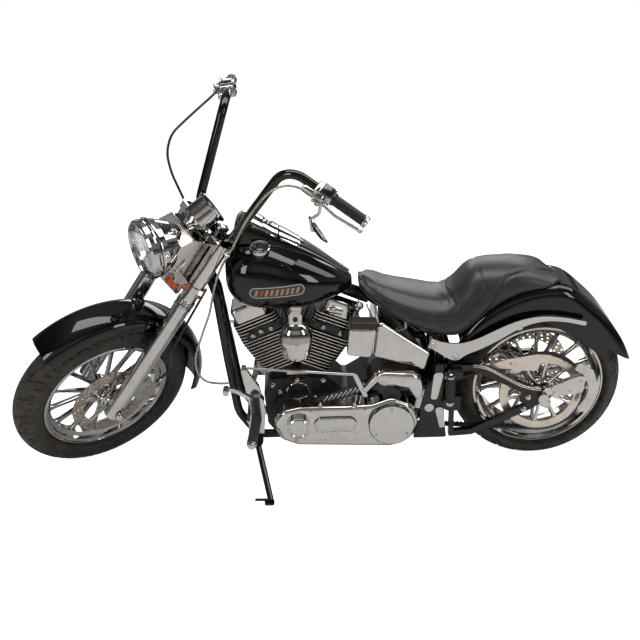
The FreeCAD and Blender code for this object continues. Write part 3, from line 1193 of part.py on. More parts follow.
def to_floor(x, y):
    """The bike-frame height at x, y that comes to rest at floor level."""
    base = REST_ROT.multVec(V(x, y, 0)).z + LIFT
    per_z = REST_ROT.multVec(Z1).z
    return -base / per_z


foot_z = to_floor(STAND_FOOT_X, STAND_FOOT_Y)
foot = V(STAND_FOOT_X, STAND_FOOT_Y, foot_z)
floor_up = REST_ROT.inverted().multVec(Z1)
floor_x = REST_ROT.inverted().multVec(X1)
floor_y = REST_ROT.inverted().multVec(Y1)
foot_pad = Part.Face(outline_wire([(-22, -26), (12, -26), (12, 10), (-22, 10)], 8, lambda u, v: foot + floor_x * u + floor_y * v)).extrude(floor_up * 7)
ankle = foot + floor_up * 5
eye_top = STAND_PIVOT + STAND_AXIS * 11
eye_low = STAND_PIVOT - STAND_AXIS * 11
leg_dir = unit(foot - STAND_PIVOT)
knee = STAND_PIVOT + leg_dir * 90
leg = pipe([STAND_PIVOT + leg_dir * 14, knee, ankle], 120, STAND_R)
tail = rod(foot + floor_up * 10, foot + floor_up * 16 - floor_x * 55 - floor_y * 10, 5)
hinge_eye = rod(eye_low, eye_top, 19)
below = Part.Face(outline_wire([(-200, -200), (200, -200), (200, 200), (-200, 200)], 0, lambda u, v: foot + floor_x * u + floor_y * v)).extrude(floor_up * -80)
stand_body = join([hinge_eye, leg, foot_pad, tail]).cut(below)
pin_r = 8.0
stand_body = stand_body.cut(rod(STAND_PIVOT - STAND_AXIS * 60, STAND_PIVOT + STAND_AXIS * 60, pin_r + RUN_GAP))
for end, way in ((eye_low, -1.0), (eye_top, 1.0)):
    stand_body = stand_body.cut(rod(end, end + STAND_AXIS * (20.0 * way), 21))
stand["side_stand"] = max(stand_body.Solids, key=lambda q: q.Volume)
ear_hi = rod(eye_top + STAND_AXIS * SEAT_GAP, eye_top + STAND_AXIS * 8, 18)
ear_lo = rod(eye_low - STAND_AXIS * SEAT_GAP, eye_low - STAND_AXIS * 8, 18)
web_dir = unit(V(-0.15, 0.98, 0))
web_dir = unit(web_dir - STAND_AXIS * web_dir.dot(STAND_AXIS))
web_side = STAND_AXIS.cross(web_dir)
web_pts = []
for a, b in ((25, -19), (25, 19), (44, 19), (44, -19)):
    web_pts.append(STAND_PIVOT - STAND_AXIS * 19 + web_dir * a + web_side * b)
web = Part.Face(Part.makePolygon(web_pts + [web_pts[0]])).extrude(STAND_AXIS * 38)
cheeks = []
for off in (-19, 11 + SEAT_GAP):
    ck = []
    for a, b in ((0, -18), (0, 18), (40, 18), (40, -18)):
        ck.append(STAND_PIVOT + STAND_AXIS * off + web_dir * a + web_side * b)
    cheeks.append(Part.Face(Part.makePolygon(ck + [ck[0]])).extrude(STAND_AXIS * (8 - SEAT_GAP)))
pin = rod(STAND_PIVOT - STAND_AXIS * 19, STAND_PIVOT + STAND_AXIS * 19, pin_r)
strut_end = V(STAND_PIVOT.x - 22, -RAIL_Y, RAIL_Z + 26)
hanger = join([ear_hi, ear_lo, web, pin] + cheeks + [rod(STAND_PIVOT + web_dir * 34, strut_end, 13)])
for tube in frame_room:
    hanger = hanger.cut(tube)
hanger = hanger.cut(root["forward_controls"])
root["stand_bracket"] = max(hanger.Solids, key=lambda q: q.Volume)

# Cords
CORD_R = 4.5
WIDE = 1.0e6
lower_tube = V(-1131, -79.2, 372)
lower_prev = V(-1182, -112, 384)
lower_end = lower_tube - unit(lower_tube - lower_prev) * (TUBE_R + SEAT_GAP + 3.4)
steer["clutch_cable"] = pipe([cable_starts[0], cable_starts[0] - cable_dirs[0] * 48, V(-1092, -276, 1316), V(-1140, -245, 1262),
                              V(-1185, -214, 1138), V(-1205, -190, 1030),
                              fork_point(UPPER_CLAMP_S + 14, FORK_OFFSET + 4, -LEG_Y - 33.4 - SEAT_GAP - CORD_R)], WIDE, CORD_R)
root["clutch_cable_lower"] = pipe([V(-1174, -66, 700), V(-1204, -114, 640), V(-1240, -128, 560), V(-1264, -132, 478),
                                   V(-1240, -126, 404), lower_prev, lower_end], WIDE, CORD_R)
steer["right_cable"] = pipe([cable_starts[1], cable_starts[1] - cable_dirs[1] * 52, V(-1136, 270, 1236), V(-1212, 248, 1206),
                             V(-1242, 226, 1150), V(-1238, 200, 1080),
                             fork_point(UPPER_CLAMP_S + 14, FORK_OFFSET + 4, LEG_Y + 34 + SEAT_GAP + CORD_R)], WIDE, CORD_R)
hose_r = DISC_R * 1.2 + CORD_R + SEAT_GAP
hose_a = math.radians(12)
hose_end = V(fx + hose_r * math.cos(hose_a), -90, fz + hose_r * math.sin(hose_a))
hose_out = V(fx + (hose_r + 60) * math.cos(hose_a), -100, fz + (hose_r + 75) * math.sin(hose_a) + 30)
steer["brake_hose"] = pipe([fork_point(LOWER_CLAMP_S + 16, 8.4, -LEG_Y - 5),
                            fork_point(470, FORK_OFFSET - 54, -LEG_Y - 10), fork_point(300, FORK_OFFSET - 66, -LEG_Y - 14),
                            hose_out, hose_end], 60, CORD_R)

# Rest pose and hand-over


def world_matrix(extra=None):
    rot = REST_ROT
    base = FreeCAD.Placement(V(0, 0, LIFT), rot)
    if extra is not None:
        base = base.multiply(extra)
    return base


steer_place = FreeCAD.Placement(AXIS_FOOT - LOCK_ROT.multVec(AXIS_FOOT), LOCK_ROT)
groups = [(root, None), (rear_spin, None), (stand, None), (steer, steer_place), (front_spin, steer_place)]
done = {}
for group, extra in groups:
    place = world_matrix(extra)
    for name, shape in group.items():
        s = shape.copy()
        s.Placement = place.multiply(s.Placement)
        done[name] = s
lo = [1e9, 1e9]
hi = [-1e9, -1e9]
for name in ("front_tyre", "rear_tyre", "rear_fender", "front_fender", "grips", "hand_controls", "side_stand", "foot_pegs"):
    verts, _ = done[name].tessellate(1.0)
    for p in verts:
        lo = [min(lo[0], p.x), min(lo[1], p.y)]
        hi = [max(hi[0], p.x), max(hi[1], p.y)]
SHIFT = V(-(lo[0] + hi[0]) / 2, -(lo[1] + hi[1]) / 2, 0)
for name in done:
    done[name].translate(SHIFT)


def world_point(p, extra=None):
    return world_matrix(extra).multVec(p) + SHIFT


def world_dir(d, extra=None):
    return world_matrix(extra).Rotation.multVec(d)


if __name__ == "__main__":
    for name, shape in done.items():
        ok = shape.isValid()
        kinds = len(shape.Solids)
        if not ok or kinds == 0:
            print("CHECK", name, ok, kinds)
        shape.exportStep("parts/" + name + ".step")
    print("pieces", len(done), "pitch", round(PITCH, 3), "lift", round(LIFT, 2))
    for name, shape in done.items():
        print(name, len(shape.Solids), round(shape.Volume / 1e6, 3))
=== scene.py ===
# %% [markdown]
# # A long-forked motorcycle, dressed piece by piece
# This lesson takes the plain solids of a chopper, already placed and measured,
# and gives them paint, chrome, rubber, leather and the small parts that a solid
# model leaves out. Each step first says what the real piece is, then how it is made.

# %% Load the frame
import bpy
import math
from mathutils import Matrix, Vector


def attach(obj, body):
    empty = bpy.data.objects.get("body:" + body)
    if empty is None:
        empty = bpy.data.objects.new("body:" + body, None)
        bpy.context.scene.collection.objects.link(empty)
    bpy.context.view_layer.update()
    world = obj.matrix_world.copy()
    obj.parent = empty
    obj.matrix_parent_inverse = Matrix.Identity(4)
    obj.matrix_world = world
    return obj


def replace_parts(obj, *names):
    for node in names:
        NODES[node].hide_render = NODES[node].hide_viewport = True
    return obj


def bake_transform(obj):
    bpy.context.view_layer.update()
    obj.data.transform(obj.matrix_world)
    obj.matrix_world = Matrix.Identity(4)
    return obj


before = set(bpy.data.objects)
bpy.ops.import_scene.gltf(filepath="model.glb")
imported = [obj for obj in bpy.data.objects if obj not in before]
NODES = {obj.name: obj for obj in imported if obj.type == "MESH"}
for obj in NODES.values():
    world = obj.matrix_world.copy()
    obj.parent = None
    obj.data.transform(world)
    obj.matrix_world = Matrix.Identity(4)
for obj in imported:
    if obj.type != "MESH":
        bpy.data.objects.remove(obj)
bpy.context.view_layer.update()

# %% [markdown]
# The bike leans on its side stand with its fork turned to the left stop, so few of
# its lines are upright. It is easier to model each piece on the straight bike, in
# millimetres, with X to the rear, Y to the rider's right and Z up, and to put the
# finished mesh in place with one matrix: one for the chassis and one for what steers.

# %% Two frames of reference
MM = 0.001


def frame_matrix(origin, x_dir, y_dir, z_dir):
    """From millimetres on the straight bike to metres on the floor."""
    turn = Matrix((x_dir, y_dir, z_dir)).transposed().to_4x4()
    return Matrix.Translation(origin) @ turn @ Matrix.Scale(MM, 4)


BIKE = frame_matrix((0.802696, 0.084901, 0.001716), (0.9999526, -0.0016902, 0.0095857),
                    (0.0, 0.9848078, 0.1736482), (-0.0097336, -0.17364, 0.9847611))
FORK = frame_matrix((0.546403, 0.947035, 0.325937), (0.8571646, 0.4786292, 0.1902183),
                    (-0.5076827, 0.7229669, 0.4685906), (0.0867596, -0.4982297, 0.8626934))
REAR_AXLE = Vector((0, 0, 320))
FRONT_AXLE = Vector((-1636, 0, 340))
RAKE = math.radians(34.05)
UP = Vector((math.sin(RAKE), 0, math.cos(RAKE)))
AHEAD = Vector((-math.cos(RAKE), 0, math.sin(RAKE)))
AXIS_FOOT = FRONT_AXLE - AHEAD * 58.7
X = Vector((1, 0, 0))
Y = Vector((0, 1, 0))
Z = Vector((0, 0, 1))


def fork_point(s, t, y=0.0):
    """A point s up the steering axis, t ahead of it and y to the side."""
    return AXIS_FOOT + UP * s + AHEAD * t + Y * y


print("rear axle", [round(v, 3) for v in BIKE @ REAR_AXLE])
print("front axle", [round(v, 3) for v in FORK @ FRONT_AXLE])

# %% [markdown]
# The camera stands at the left of the bike, a little above it, and looks slightly
# down. Its place was worked out from the two wheels, so it is written on the
# straight bike as the leaned bike sees it, and then turned into the world.

# %% Camera
VIEW_TURN = math.radians(-0.9015)
VIEW_HEIGHT = 0.459257
VIEW_ROLL = math.radians(-1.1348)
VIEW_DISTANCE = 3737.5
LENS = 57.19
TARGET = Vector((-806.4, 0, 578.1))
back = Vector((math.sin(VIEW_TURN) * math.cos(VIEW_HEIGHT),
               -math.cos(VIEW_TURN) * math.cos(VIEW_HEIGHT), math.sin(VIEW_HEIGHT)))
side = Vector((math.cos(VIEW_TURN), math.sin(VIEW_TURN), 0))
upward = side.cross(-back)
right = side * math.cos(VIEW_ROLL) + upward * math.sin(VIEW_ROLL)
top = upward * math.cos(VIEW_ROLL) - side * math.sin(VIEW_ROLL)
turn3 = BIKE.to_3x3().normalized()
cam_turn = Matrix((turn3 @ right, turn3 @ top, turn3 @ back)).transposed().to_4x4()
bpy.ops.object.camera_add(location=BIKE @ (TARGET + back * VIEW_DISTANCE), rotation=cam_turn.to_euler())
camera = bpy.context.object
camera.name = "photo_camera"
camera.data.lens = LENS
camera.data.sensor_width = 36
camera.data.clip_end = 200
bpy.context.scene.camera = camera
print("camera at", [round(v, 3) for v in camera.location])

# %% [markdown]
# ## Shader sums
# A material is a graph of nodes, and long graphs are hard to read. One small class
# wraps a socket, so that a mask can be written as a sum, and one method adds any
# other node from its settings and its inputs.


# %% A socket that takes part in sums
class Sock:
    """An output socket, or a number, that adds Math nodes as it is used in sums."""

    def __init__(self, finish, socket):
        self.finish = finish
        self.socket = socket

    def math(self, operation, *others):
        tree = self.finish.tree
        node = tree.nodes.new("ShaderNodeMath")
        node.operation = operation
        for k, value in enumerate((self,) + others):
            self.finish.plug(value, node.inputs[k])
        return Sock(self.finish, node.outputs[0])

    def __add__(self, other):
        return self.math("ADD", other)

    def __radd__(self, other):
        return self.math("ADD", other)

    def __sub__(self, other):
        return self.math("SUBTRACT", other)

    def __rsub__(self, other):
        return Sock(self.finish, other).math("SUBTRACT", self)

    def __mul__(self, other):
        return self.math("MULTIPLY", other)

    def __rmul__(self, other):
        return self.math("MULTIPLY", other)

    def __truediv__(self, other):
        return self.math("DIVIDE", other)

    def __gt__(self, other):
        return self.math("GREATER_THAN", other)

    def __lt__(self, other):
        return self.math("LESS_THAN", other)

    def ramp(self, low, high, out_low=0.0, out_high=1.0):
        """A soft step from out_low at low to out_high at high."""
        return self.finish.add("ShaderNodeMapRange", {"interpolation_type": "SMOOTHSTEP"},
                               {0: self, 1: low, 2: high, 3: out_low, 4: out_high})


class Finish:
    """A material under construction, with one shader and its output."""

    def __init__(self, name, **sockets):
        self.material = bpy.data.materials.new(name)
        self.material.use_nodes = True
        self.tree = self.material.node_tree
        self.shader = self.tree.nodes["Principled BSDF"]
        for key, value in sockets.items():
            self.shader.inputs[key.replace("_", " ")].default_value = value
        self.spot = self.add("ShaderNodeTexCoord", out="Object")

    def plug(self, value, socket):
        if isinstance(value, Sock):
            value = value.socket
        if hasattr(value, "is_output"):
            self.tree.links.new(value, socket)
        else:
            socket.default_value = value

    def add(self, kind, settings=None, inputs=None, out=0):
        """One node of a kind, its settings first and then its sockets."""
        node = self.tree.nodes.new(kind)
        for key, value in (settings or {}).items():
            if key == "stops":
                while len(node.color_ramp.elements) < len(value):
                    node.color_ramp.elements.new(0.5)
                for k, (place, colour) in enumerate(value):
                    node.color_ramp.elements[k].position = place
                    node.color_ramp.elements[k].color = colour
            else:
                setattr(node, key, value)
        for key, value in (inputs or {}).items():
            self.plug(value, node.inputs[key])
        return Sock(self, node.outputs[out])

    def noise(self, scale, detail=3.0, rough=0.5, spot=None, out="Fac"):
        return self.add("ShaderNodeTexNoise", {}, {"Vector": spot or self.spot, "Scale": scale,
                                                   "Detail": detail, "Roughness": rough}, out)

    def cells(self, scale, feature="F1", spot=None, out="Distance"):
        return self.add("ShaderNodeTexVoronoi", {"feature": feature},
                        {"Vector": spot or self.spot, "Scale": scale}, out)

    def mix(self, mask, first, second):
        node = self.tree.nodes.new("ShaderNodeMix")
        node.data_type = "RGBA"
        for value, place in ((mask, 0), (first, 6), (second, 7)):
            self.plug(value, node.inputs[place])
        return Sock(self, node.outputs[2])

    def bump(self, height, distance, strength=1.0, normal=None):
        inputs = {"Height": height, "Distance": distance, "Strength": strength}
        if normal is not None:
            inputs["Normal"] = normal
        return self.add("ShaderNodeBump", {}, inputs, "Normal")

    def set(self, **sockets):
        for key, value in sockets.items():
            self.plug(value, self.shader.inputs[key.replace("_", " ")])
        return self.material


def grey(v, warm=0.0):
    return (v * (1 + warm), v, v * (1 - warm), 1.0)


# %% [markdown]
# ## Finishes
# Black paint is deep and glossy under a clear coat, with a trace of dust. Chrome is
# bright and sharp but never quite clean: faint smudges change its roughness.
# Castings are softer, rubber is dull and dusty, and leather has grain and creases.


# %% Paint, chrome and bright metals
def gloss_paint():
    f = Finish("gloss_black_paint", Coat_Weight=0.9, Coat_Roughness=0.02, Specular_IOR_Level=0.05)
    dust = f.noise(900, 2, 0.6).ramp(0.62, 0.8)
    haze = f.noise(9, 4, 0.6).ramp(0.35, 0.75)
    peel = f.noise(260, 2, 0.5)
    return f.set(Base_Color=f.mix(dust * haze * 0.12, grey(0.0028), grey(0.06, 0.06)),
                 Roughness=haze * 0.05 + 0.06, Normal=f.bump(peel, 0.00004, 0.35))


def chrome_finish(name="bright_chrome", base=0.61):
    f = Finish(name, Metallic=1.0)
    smudge = f.noise(26, 5, 0.65).ramp(0.4, 0.75)
    speck = f.noise(1500, 1, 0.5).ramp(0.7, 0.78)
    return f.set(Base_Color=f.mix(speck * 0.4, f.mix(smudge, grey(base, 0.012), grey(base * 0.85, 0.02)),
                                  grey(0.28, 0.04)),
                 Roughness=smudge * 0.06 + 0.045, Normal=f.bump(f.noise(70, 2), 0.00006, 0.25))


def polished_finish(name="polished_alloy", shine=0.11, colour=0.60):
    f = Finish(name, Metallic=1.0)
    stretched = f.add("ShaderNodeMapping", {}, {"Vector": f.spot, "Scale": (60, 60, 1500)})
    brush = f.noise(1.0, 3, 0.6, stretched)
    cloud = f.noise(22, 4, 0.6).ramp(0.35, 0.7)
    return f.set(Base_Color=f.mix(cloud, grey(colour), grey(colour * 0.92, 0.01)),
                 Roughness=cloud * 0.05 + (brush * 0.06 + shine - 0.03), Normal=f.bump(brush, 0.00002, 0.4))


def satin_finish(name="satin_alloy", colour=(0.74, 0.68, 0.62, 1.0), dark=(0.60, 0.545, 0.49, 1.0)):
    f = Finish(name, Metallic=0.85)
    cloud = f.noise(34, 4, 0.6).ramp(0.35, 0.7)
    fine = f.noise(900, 2, 0.6)
    return f.set(Base_Color=f.mix(cloud, colour, dark), Roughness=fine * 0.10 + 0.20,
                 Normal=f.bump(fine, 0.00002, 0.5))


def dark_steel_finish():
    f = Finish("dark_steel", Metallic=0.9)
    cloud = f.noise(50, 4, 0.6).ramp(0.4, 0.65)
    return f.set(Base_Color=f.mix(cloud, grey(0.10), grey(0.045, 0.05)), Roughness=cloud * 0.2 + 0.35,
                 Normal=f.bump(f.noise(700, 2), 0.00003, 0.5))


def frame_paint():
    f = Finish("frame_black", Coat_Weight=0.8, Coat_Roughness=0.05, Specular_IOR_Level=0.1)
    dust = f.noise(60, 5, 0.65).ramp(0.45, 0.8)
    return f.set(Base_Color=f.mix(dust, grey(0.004), grey(0.016, 0.08)), Roughness=dust * 0.2 + 0.16,
                 Normal=f.bump(f.noise(420, 2), 0.00005, 0.3))


def engine_paint():
    """Wrinkled black, bright where an edge of a fin was machined."""
    f = Finish("engine_black")
    normal = f.add("ShaderNodeNewGeometry", out="True Normal")
    turn = BIKE.to_3x3().normalized()
    flat = None
    for lean in (-22.5, 22.5):
        axis = turn @ Vector((math.sin(math.radians(lean)), 0, math.cos(math.radians(lean))))
        dot = f.add("ShaderNodeVectorMath", {"operation": "DOT_PRODUCT"}, {0: normal, 1: axis}, "Value")
        along = dot.math("ABSOLUTE")
        flat = along if flat is None else flat.math("MAXIMUM", along)
    edge = flat.ramp(0.84, 0.93, 1.0, 0.0)
    wear = f.noise(180, 3, 0.6).ramp(0.35, 0.6)
    bright = edge * (wear * 0.35 + 0.65)
    wrinkle = f.cells(900).ramp(0.1, 0.6)
    return f.set(Base_Color=f.mix(bright, grey(0.008, 0.1), grey(0.96, 0.06)), Metallic=bright * 0.90,
                 Roughness=bright * -0.20 + 0.52, Normal=f.bump(wrinkle, 0.00008, 0.5))


def case_paint():
    f = Finish("case_black")
    wrinkle = f.cells(1100).ramp(0.05, 0.6)
    dust = f.noise(40, 5, 0.65).ramp(0.45, 0.8)
    return f.set(Base_Color=f.mix(dust, grey(0.014), grey(0.05, 0.08)), Roughness=dust * 0.2 + 0.42,
                 Normal=f.bump(wrinkle, 0.00010, 0.7))


# %% Rubber, leather, lenses
def rubber_finish(name, base=0.016, dusty=0.05, scale=40, warm=0.10, rough=0.62):
    f = Finish(name, Sheen_Weight=0.05)
    dust = f.noise(scale, 6, 0.7).ramp(0.4, 0.75)
    fine = f.noise(scale * 25, 3, 0.6)
    return f.set(Base_Color=f.mix(dust, grey(base), grey(dusty, warm)), Roughness=dust * 0.18 + rough,
                 Normal=f.bump(fine, 0.00015, 0.35))


def leather_finish():
    f = Finish("black_leather", Sheen_Weight=0.06, Coat_Weight=0.16, Coat_Roughness=0.33)
    grain = f.cells(520, "DISTANCE_TO_EDGE").ramp(0.0, 0.22)
    small = f.noise(1400, 3, 0.6)
    crease = f.noise(22, 5, 0.62).ramp(0.40, 0.62)
    worn = f.noise(7, 4, 0.6).ramp(0.35, 0.7)
    height = grain * 0.7 + small * 0.3 + crease * 0.8
    return f.set(Base_Color=f.mix(worn * 0.6 + (1 - grain) * 0.15, grey(0.011), grey(0.030, 0.03)),
                 Roughness=worn * 0.10 + (grain * -0.08 + 0.38), Normal=f.bump(height, 0.00016, 0.5))


def lens_finish(name, colour, weight=1.0, rough=0.02):
    f = Finish(name, Transmission_Weight=weight, IOR=1.45)
    grit = f.noise(500, 2, 0.6).ramp(0.6, 0.8)
    return f.set(Base_Color=f.mix(grit * 0.1, colour, grey(0.7)), Roughness=grit * 0.08 + rough,
                 Normal=f.bump(f.noise(120, 2), 0.00003, 0.3))


PAINT = gloss_paint()
CHROME = chrome_finish()
# Darker chrome: the own finish of the spokes and lamp bowl, and painted shade on the top dome of the horn
# cover, which is one chrome piece.
DARK_CHROME_AND_DOME_SHADE = chrome_finish("dark_chrome_and_dome_shade", 0.40)
DISC = satin_finish("drilled_disc", (0.60, 0.53, 0.47, 1.0), (0.44, 0.385, 0.34, 1.0))
POLISHED = polished_finish()
SATIN = satin_finish()
STEEL = dark_steel_finish()
FRAME_PAINT = frame_paint()
FINS = engine_paint()
CASE = case_paint()
TYRE = rubber_finish("tyre_rubber", 0.018, 0.062, 30, 0.30)
RUBBER = rubber_finish("soft_rubber", 0.008, 0.022, 60, 0.15, 0.46)
BELT = rubber_finish("belt_rubber", 0.015, 0.050, 90)
SHEATH = rubber_finish("cable_sheath", 0.012, 0.035, 120, 0.2, 0.42)
LEATHER = leather_finish()
CLEAR = lens_finish("clear_glass", grey(0.96), 1.0)
AMBER = lens_finish("amber_lens", (0.95, 0.20, 0.02, 1.0), 0.55, 0.12)
print("finishes made", len(bpy.data.materials))

# %% [markdown]
# ## Every solid gets its finish
# The solids that already have the right shape stay, and only their material changes.

# %% Dress the solids
NODE_FINISH = {
    "frame": FRAME_PAINT, "swingarm": FRAME_PAINT, "engine_cases": CASE, "finned_cylinders": FINS,
    "rocker_covers": CHROME, "primary_cover": CHROME, "gearbox_top": CASE, "cam_cover": CHROME,
    "air_cleaner": CHROME, "exhaust_pipes": CHROME, "horn": CHROME, "oil_tank": CHROME,
    "battery_cover": CHROME, "fuel_tank": PAINT, "tank_console": PAINT, "rear_fender": PAINT,
    "seat": LEATHER, "fender_struts": POLISHED, "belt_guard": SATIN, "plate_bracket": CHROME,
    "rear_caliper": CHROME, "forward_controls": CHROME, "foot_pegs": RUBBER, "pivot_covers": CHROME,
    "stand_bracket": FRAME_PAINT,
    "clutch_cable_lower": SHEATH, "triple_clamps": CHROME, "fork_tubes": CHROME, "fork_sliders": POLISHED,
    "front_axle": CHROME, "front_fender": PAINT, "front_caliper": CHROME, "headlamp": CHROME,
    "headlamp_lens": CLEAR, "fork_shroud": CHROME, "marker_lenses": AMBER, "gauge": CHROME,
    "handlebar": PAINT, "grips": RUBBER, "hand_controls": CHROME, "mirror": CHROME,
    "clutch_cable": SHEATH, "right_cable": SHEATH, "brake_hose": SHEATH, "front_tyre": TYRE,
    "front_rim": CHROME, "front_disc": SATIN, "rear_tyre": TYRE, "rear_rim": CHROME, "rear_disc": SATIN,
    "rear_pulley": SATIN, "rear_axle": CHROME, "drive_belt": BELT, "side_stand": FRAME_PAINT}
for name, node in NODES.items():
    finish = NODE_FINISH.get(name, CASE)
    if not node.material_slots:
        node.data.materials.append(finish)
    for slot in node.material_slots:
        slot.material = finish
print("solids dressed", len(NODES))

# %% [markdown]
# ## Floor and light
# The bike stands on a pale floor under wide soft lamps. The floor and the world
# show white to the camera, while the shadow under the bike stays.


# %% Floor, world and lamps
def studio_floor():
    f = Finish("pale_floor", Roughness=0.9)
    path = f.tree.nodes.new("ShaderNodeLightPath")
    seen = Sock(f, path.outputs["Is Camera Ray"]).math("MAXIMUM",
                                                       Sock(f, path.outputs["Is Transmission Ray"]))
    f.shader.inputs["Emission Color"].default_value = grey(1.0)
    return f.set(Base_Color=f.mix(f.noise(3, 2), grey(0.82), grey(0.80)), Emission_Strength=seen * 0.98)


bpy.ops.object.select_all(action="DESELECT")
bpy.ops.mesh.primitive_plane_add(size=90, location=(0, 0, 0))
floor = bpy.context.object
floor.name = "studio_floor"
floor.data.materials.append(studio_floor())

world = bpy.data.worlds.new("studio_world")
bpy.context.scene.world = world
world.use_nodes = True
wt = world.node_tree
background = wt.nodes["Background"]
path = wt.nodes.new("ShaderNodeLightPath")
coords = wt.nodes.new("ShaderNodeTexCoord")
split = wt.nodes.new("ShaderNodeSeparateXYZ")
wt.links.new(coords.outputs["Generated"], split.inputs[0])
shade = wt.nodes.new("ShaderNodeValToRGB")
wt.links.new(split.outputs[2], shade.inputs[0])
shade.color_ramp.elements[0].position = 0.0
shade.color_ramp.elements[0].color = (0.05, 0.05, 0.052, 1)
shade.color_ramp.elements[1].position = 0.95
shade.color_ramp.elements[1].color = (0.30, 0.30, 0.31, 1)
for place, v in ((0.10, 0.12), (0.20, 0.44), (0.42, 0.40), (0.60, 0.06)):
    stop = shade.color_ramp.elements.new(place)
    stop.color = (v, v, v, 1)
side = wt.nodes.new("ShaderNodeMapRange")
side.inputs[1].default_value = -1.0
wt.links.new(split.outputs[0], side.inputs[0])
cards = wt.nodes.new("ShaderNodeValToRGB")
wt.links.new(side.outputs[0], cards.inputs[0])
cards.color_ramp.elements[0].color = (0.75, 0.72, 0.69, 1)
cards.color_ramp.elements[1].color = (0.62, 0.60, 0.58, 1)
for place, v in ((0.20, 0.30), (0.34, 1.05), (0.50, 1.02), (0.62, 1.12), (0.74, 0.50)):
    stop = cards.color_ramp.elements.new(place)
    stop.color = (v, v * 0.965, v * 0.935, 1)
both = wt.nodes.new("ShaderNodeMix")
both.data_type = "RGBA"
both.blend_type = "MULTIPLY"
both.inputs[0].default_value = 1.0
wt.links.new(shade.outputs[0], both.inputs[6])
wt.links.new(cards.outputs[0], both.inputs[7])
white = wt.nodes.new("ShaderNodeMix")
white.data_type = "RGBA"
wt.links.new(path.outputs["Is Camera Ray"], white.inputs[0])
wt.links.new(both.outputs[2], white.inputs[6])
white.inputs[7].default_value = (1, 1, 1, 1)
wt.links.new(white.outputs[2], background.inputs[0])
background.inputs[1].default_value = 1.0


def soft_lamp(name, place, aim, size, power):
    bpy.ops.object.light_add(type="AREA", location=place)
    lamp = bpy.context.object
    lamp.name = name
    lamp.data.shape = "RECTANGLE"
    lamp.data.size = size[0]
    lamp.data.size_y = size[1]
    lamp.data.energy = power
    lamp.data.color = (1.0, 0.968, 0.94)
    lamp.rotation_euler = (Vector(aim) - Vector(place)).to_track_quat("-Z", "Y").to_euler()
    return lamp


soft_lamp("top_light", (0.0, -0.5, 3.3), (0.0, 0.0, 0.4), (3.4, 1.1), 60)
soft_lamp("left_light", (-2.9, -3.0, 1.7), (0.0, 0.0, 0.6), (0.9, 1.8), 34)
soft_lamp("right_light", (3.0, -2.8, 1.9), (0.2, 0.0, 0.5), (0.8, 1.8), 28)
soft_lamp("back_light", (0.6, 3.2, 2.6), (0.0, 0.0, 0.6), (3.0, 0.8), 30)
soft_lamp("tail_light", (2.3, 0.1, 2.8), (0.9, 0.0, 0.6), (1.3, 1.6), 21)
bpy.context.scene.view_settings.view_transform = "Standard"

# %% [markdown]
# ## Hand tools
# A few helpers stand for the moves a modeller makes by hand: add a primitive, pick
# faces by their place, extrude or inset them, round the edges, copy and join.


# %% Modelling helpers
def only(obj):
    bpy.ops.object.select_all(action="DESELECT")
    obj.select_set(True)
    bpy.context.view_layer.objects.active = obj


def solid(kind, name, **settings):
    """A primitive of its size at its place, with its place in its mesh."""
    bpy.ops.object.select_all(action="DESELECT")
    getattr(bpy.ops.mesh, "primitive_" + kind + "_add")(**settings)
    obj = bpy.context.object
    obj.name = name
    bpy.ops.object.transform_apply(location=True, rotation=True, scale=True)
    return obj


def bar(name, a, b, r, sides=24, r_end=None, fill="NGON"):
    """A round bar or cone from a to b."""
    a = Vector(a)
    b = Vector(b)
    turn = (b - a).to_track_quat("Z", "Y").to_euler()
    return solid("cone", name, vertices=sides, radius1=r, radius2=r if r_end is None else r_end,
                 depth=(b - a).length, location=(a + b) / 2, rotation=turn, end_fill_type=fill)


def pick(obj, test, kind="FACE"):
    """Edit mode with only the faces that test accepts, by centre and normal."""
    only(obj)
    bpy.ops.object.mode_set(mode="EDIT")
    bpy.ops.mesh.select_mode(type=kind)
    bpy.ops.mesh.select_all(action="DESELECT")
    bpy.ops.object.mode_set(mode="OBJECT")
    for face in obj.data.polygons:
        face.select = bool(test(face.center, face.normal))
    bpy.ops.object.mode_set(mode="EDIT")


def leave():
    bpy.ops.object.mode_set(mode="OBJECT")


def chain(name, points):
    """A line of edges, extruded point by point from one vertex."""
    obj = solid("plane", name, size=1)
    only(obj)
    bpy.ops.object.mode_set(mode="EDIT")
    bpy.ops.mesh.select_mode(type="VERT")
    bpy.ops.mesh.select_all(action="SELECT")
    bpy.ops.mesh.merge(type="CENTER")
    bpy.ops.transform.translate(value=Vector(points[0]))
    for k in range(1, len(points)):
        step = Vector(points[k]) - Vector(points[k - 1])
        bpy.ops.mesh.extrude_vertices_move(TRANSFORM_OT_translate={"value": step})
    return obj


def lathe(name, profile, base, axis, steps=48):
    """A profile of radius and height, spun once round an axis."""
    base = Vector(base)
    axis = Vector(axis).normalized()
    across = axis.orthogonal().normalized()
    obj = chain(name, [base + across * r + axis * h for r, h in profile])
    bpy.ops.mesh.select_all(action="SELECT")
    bpy.ops.mesh.spin(steps=steps, angle=math.tau, center=base, axis=axis)
    bpy.ops.mesh.select_all(action="SELECT")
    bpy.ops.mesh.remove_doubles(threshold=0.002)
    bpy.ops.mesh.normals_make_consistent(inside=False)
    leave()
    return obj


def plate(name, points, depth):
    """A flat outline given depth, which is a vector."""
    obj = chain(name, points)
    bpy.ops.mesh.select_all(action="SELECT")
    bpy.ops.mesh.edge_face_add()
    bpy.ops.mesh.extrude_region_move(TRANSFORM_OT_translate={"value": Vector(depth)})
    bpy.ops.mesh.select_all(action="SELECT")
    bpy.ops.mesh.normals_make_consistent(inside=False)
    leave()
    return obj


def modify(obj, kind, **settings):
    only(obj)
    mod = obj.modifiers.new(kind.lower(), kind)
    for key, value in settings.items():
        setattr(mod, key, value)
    bpy.ops.object.modifier_apply(modifier=mod.name)
    return obj


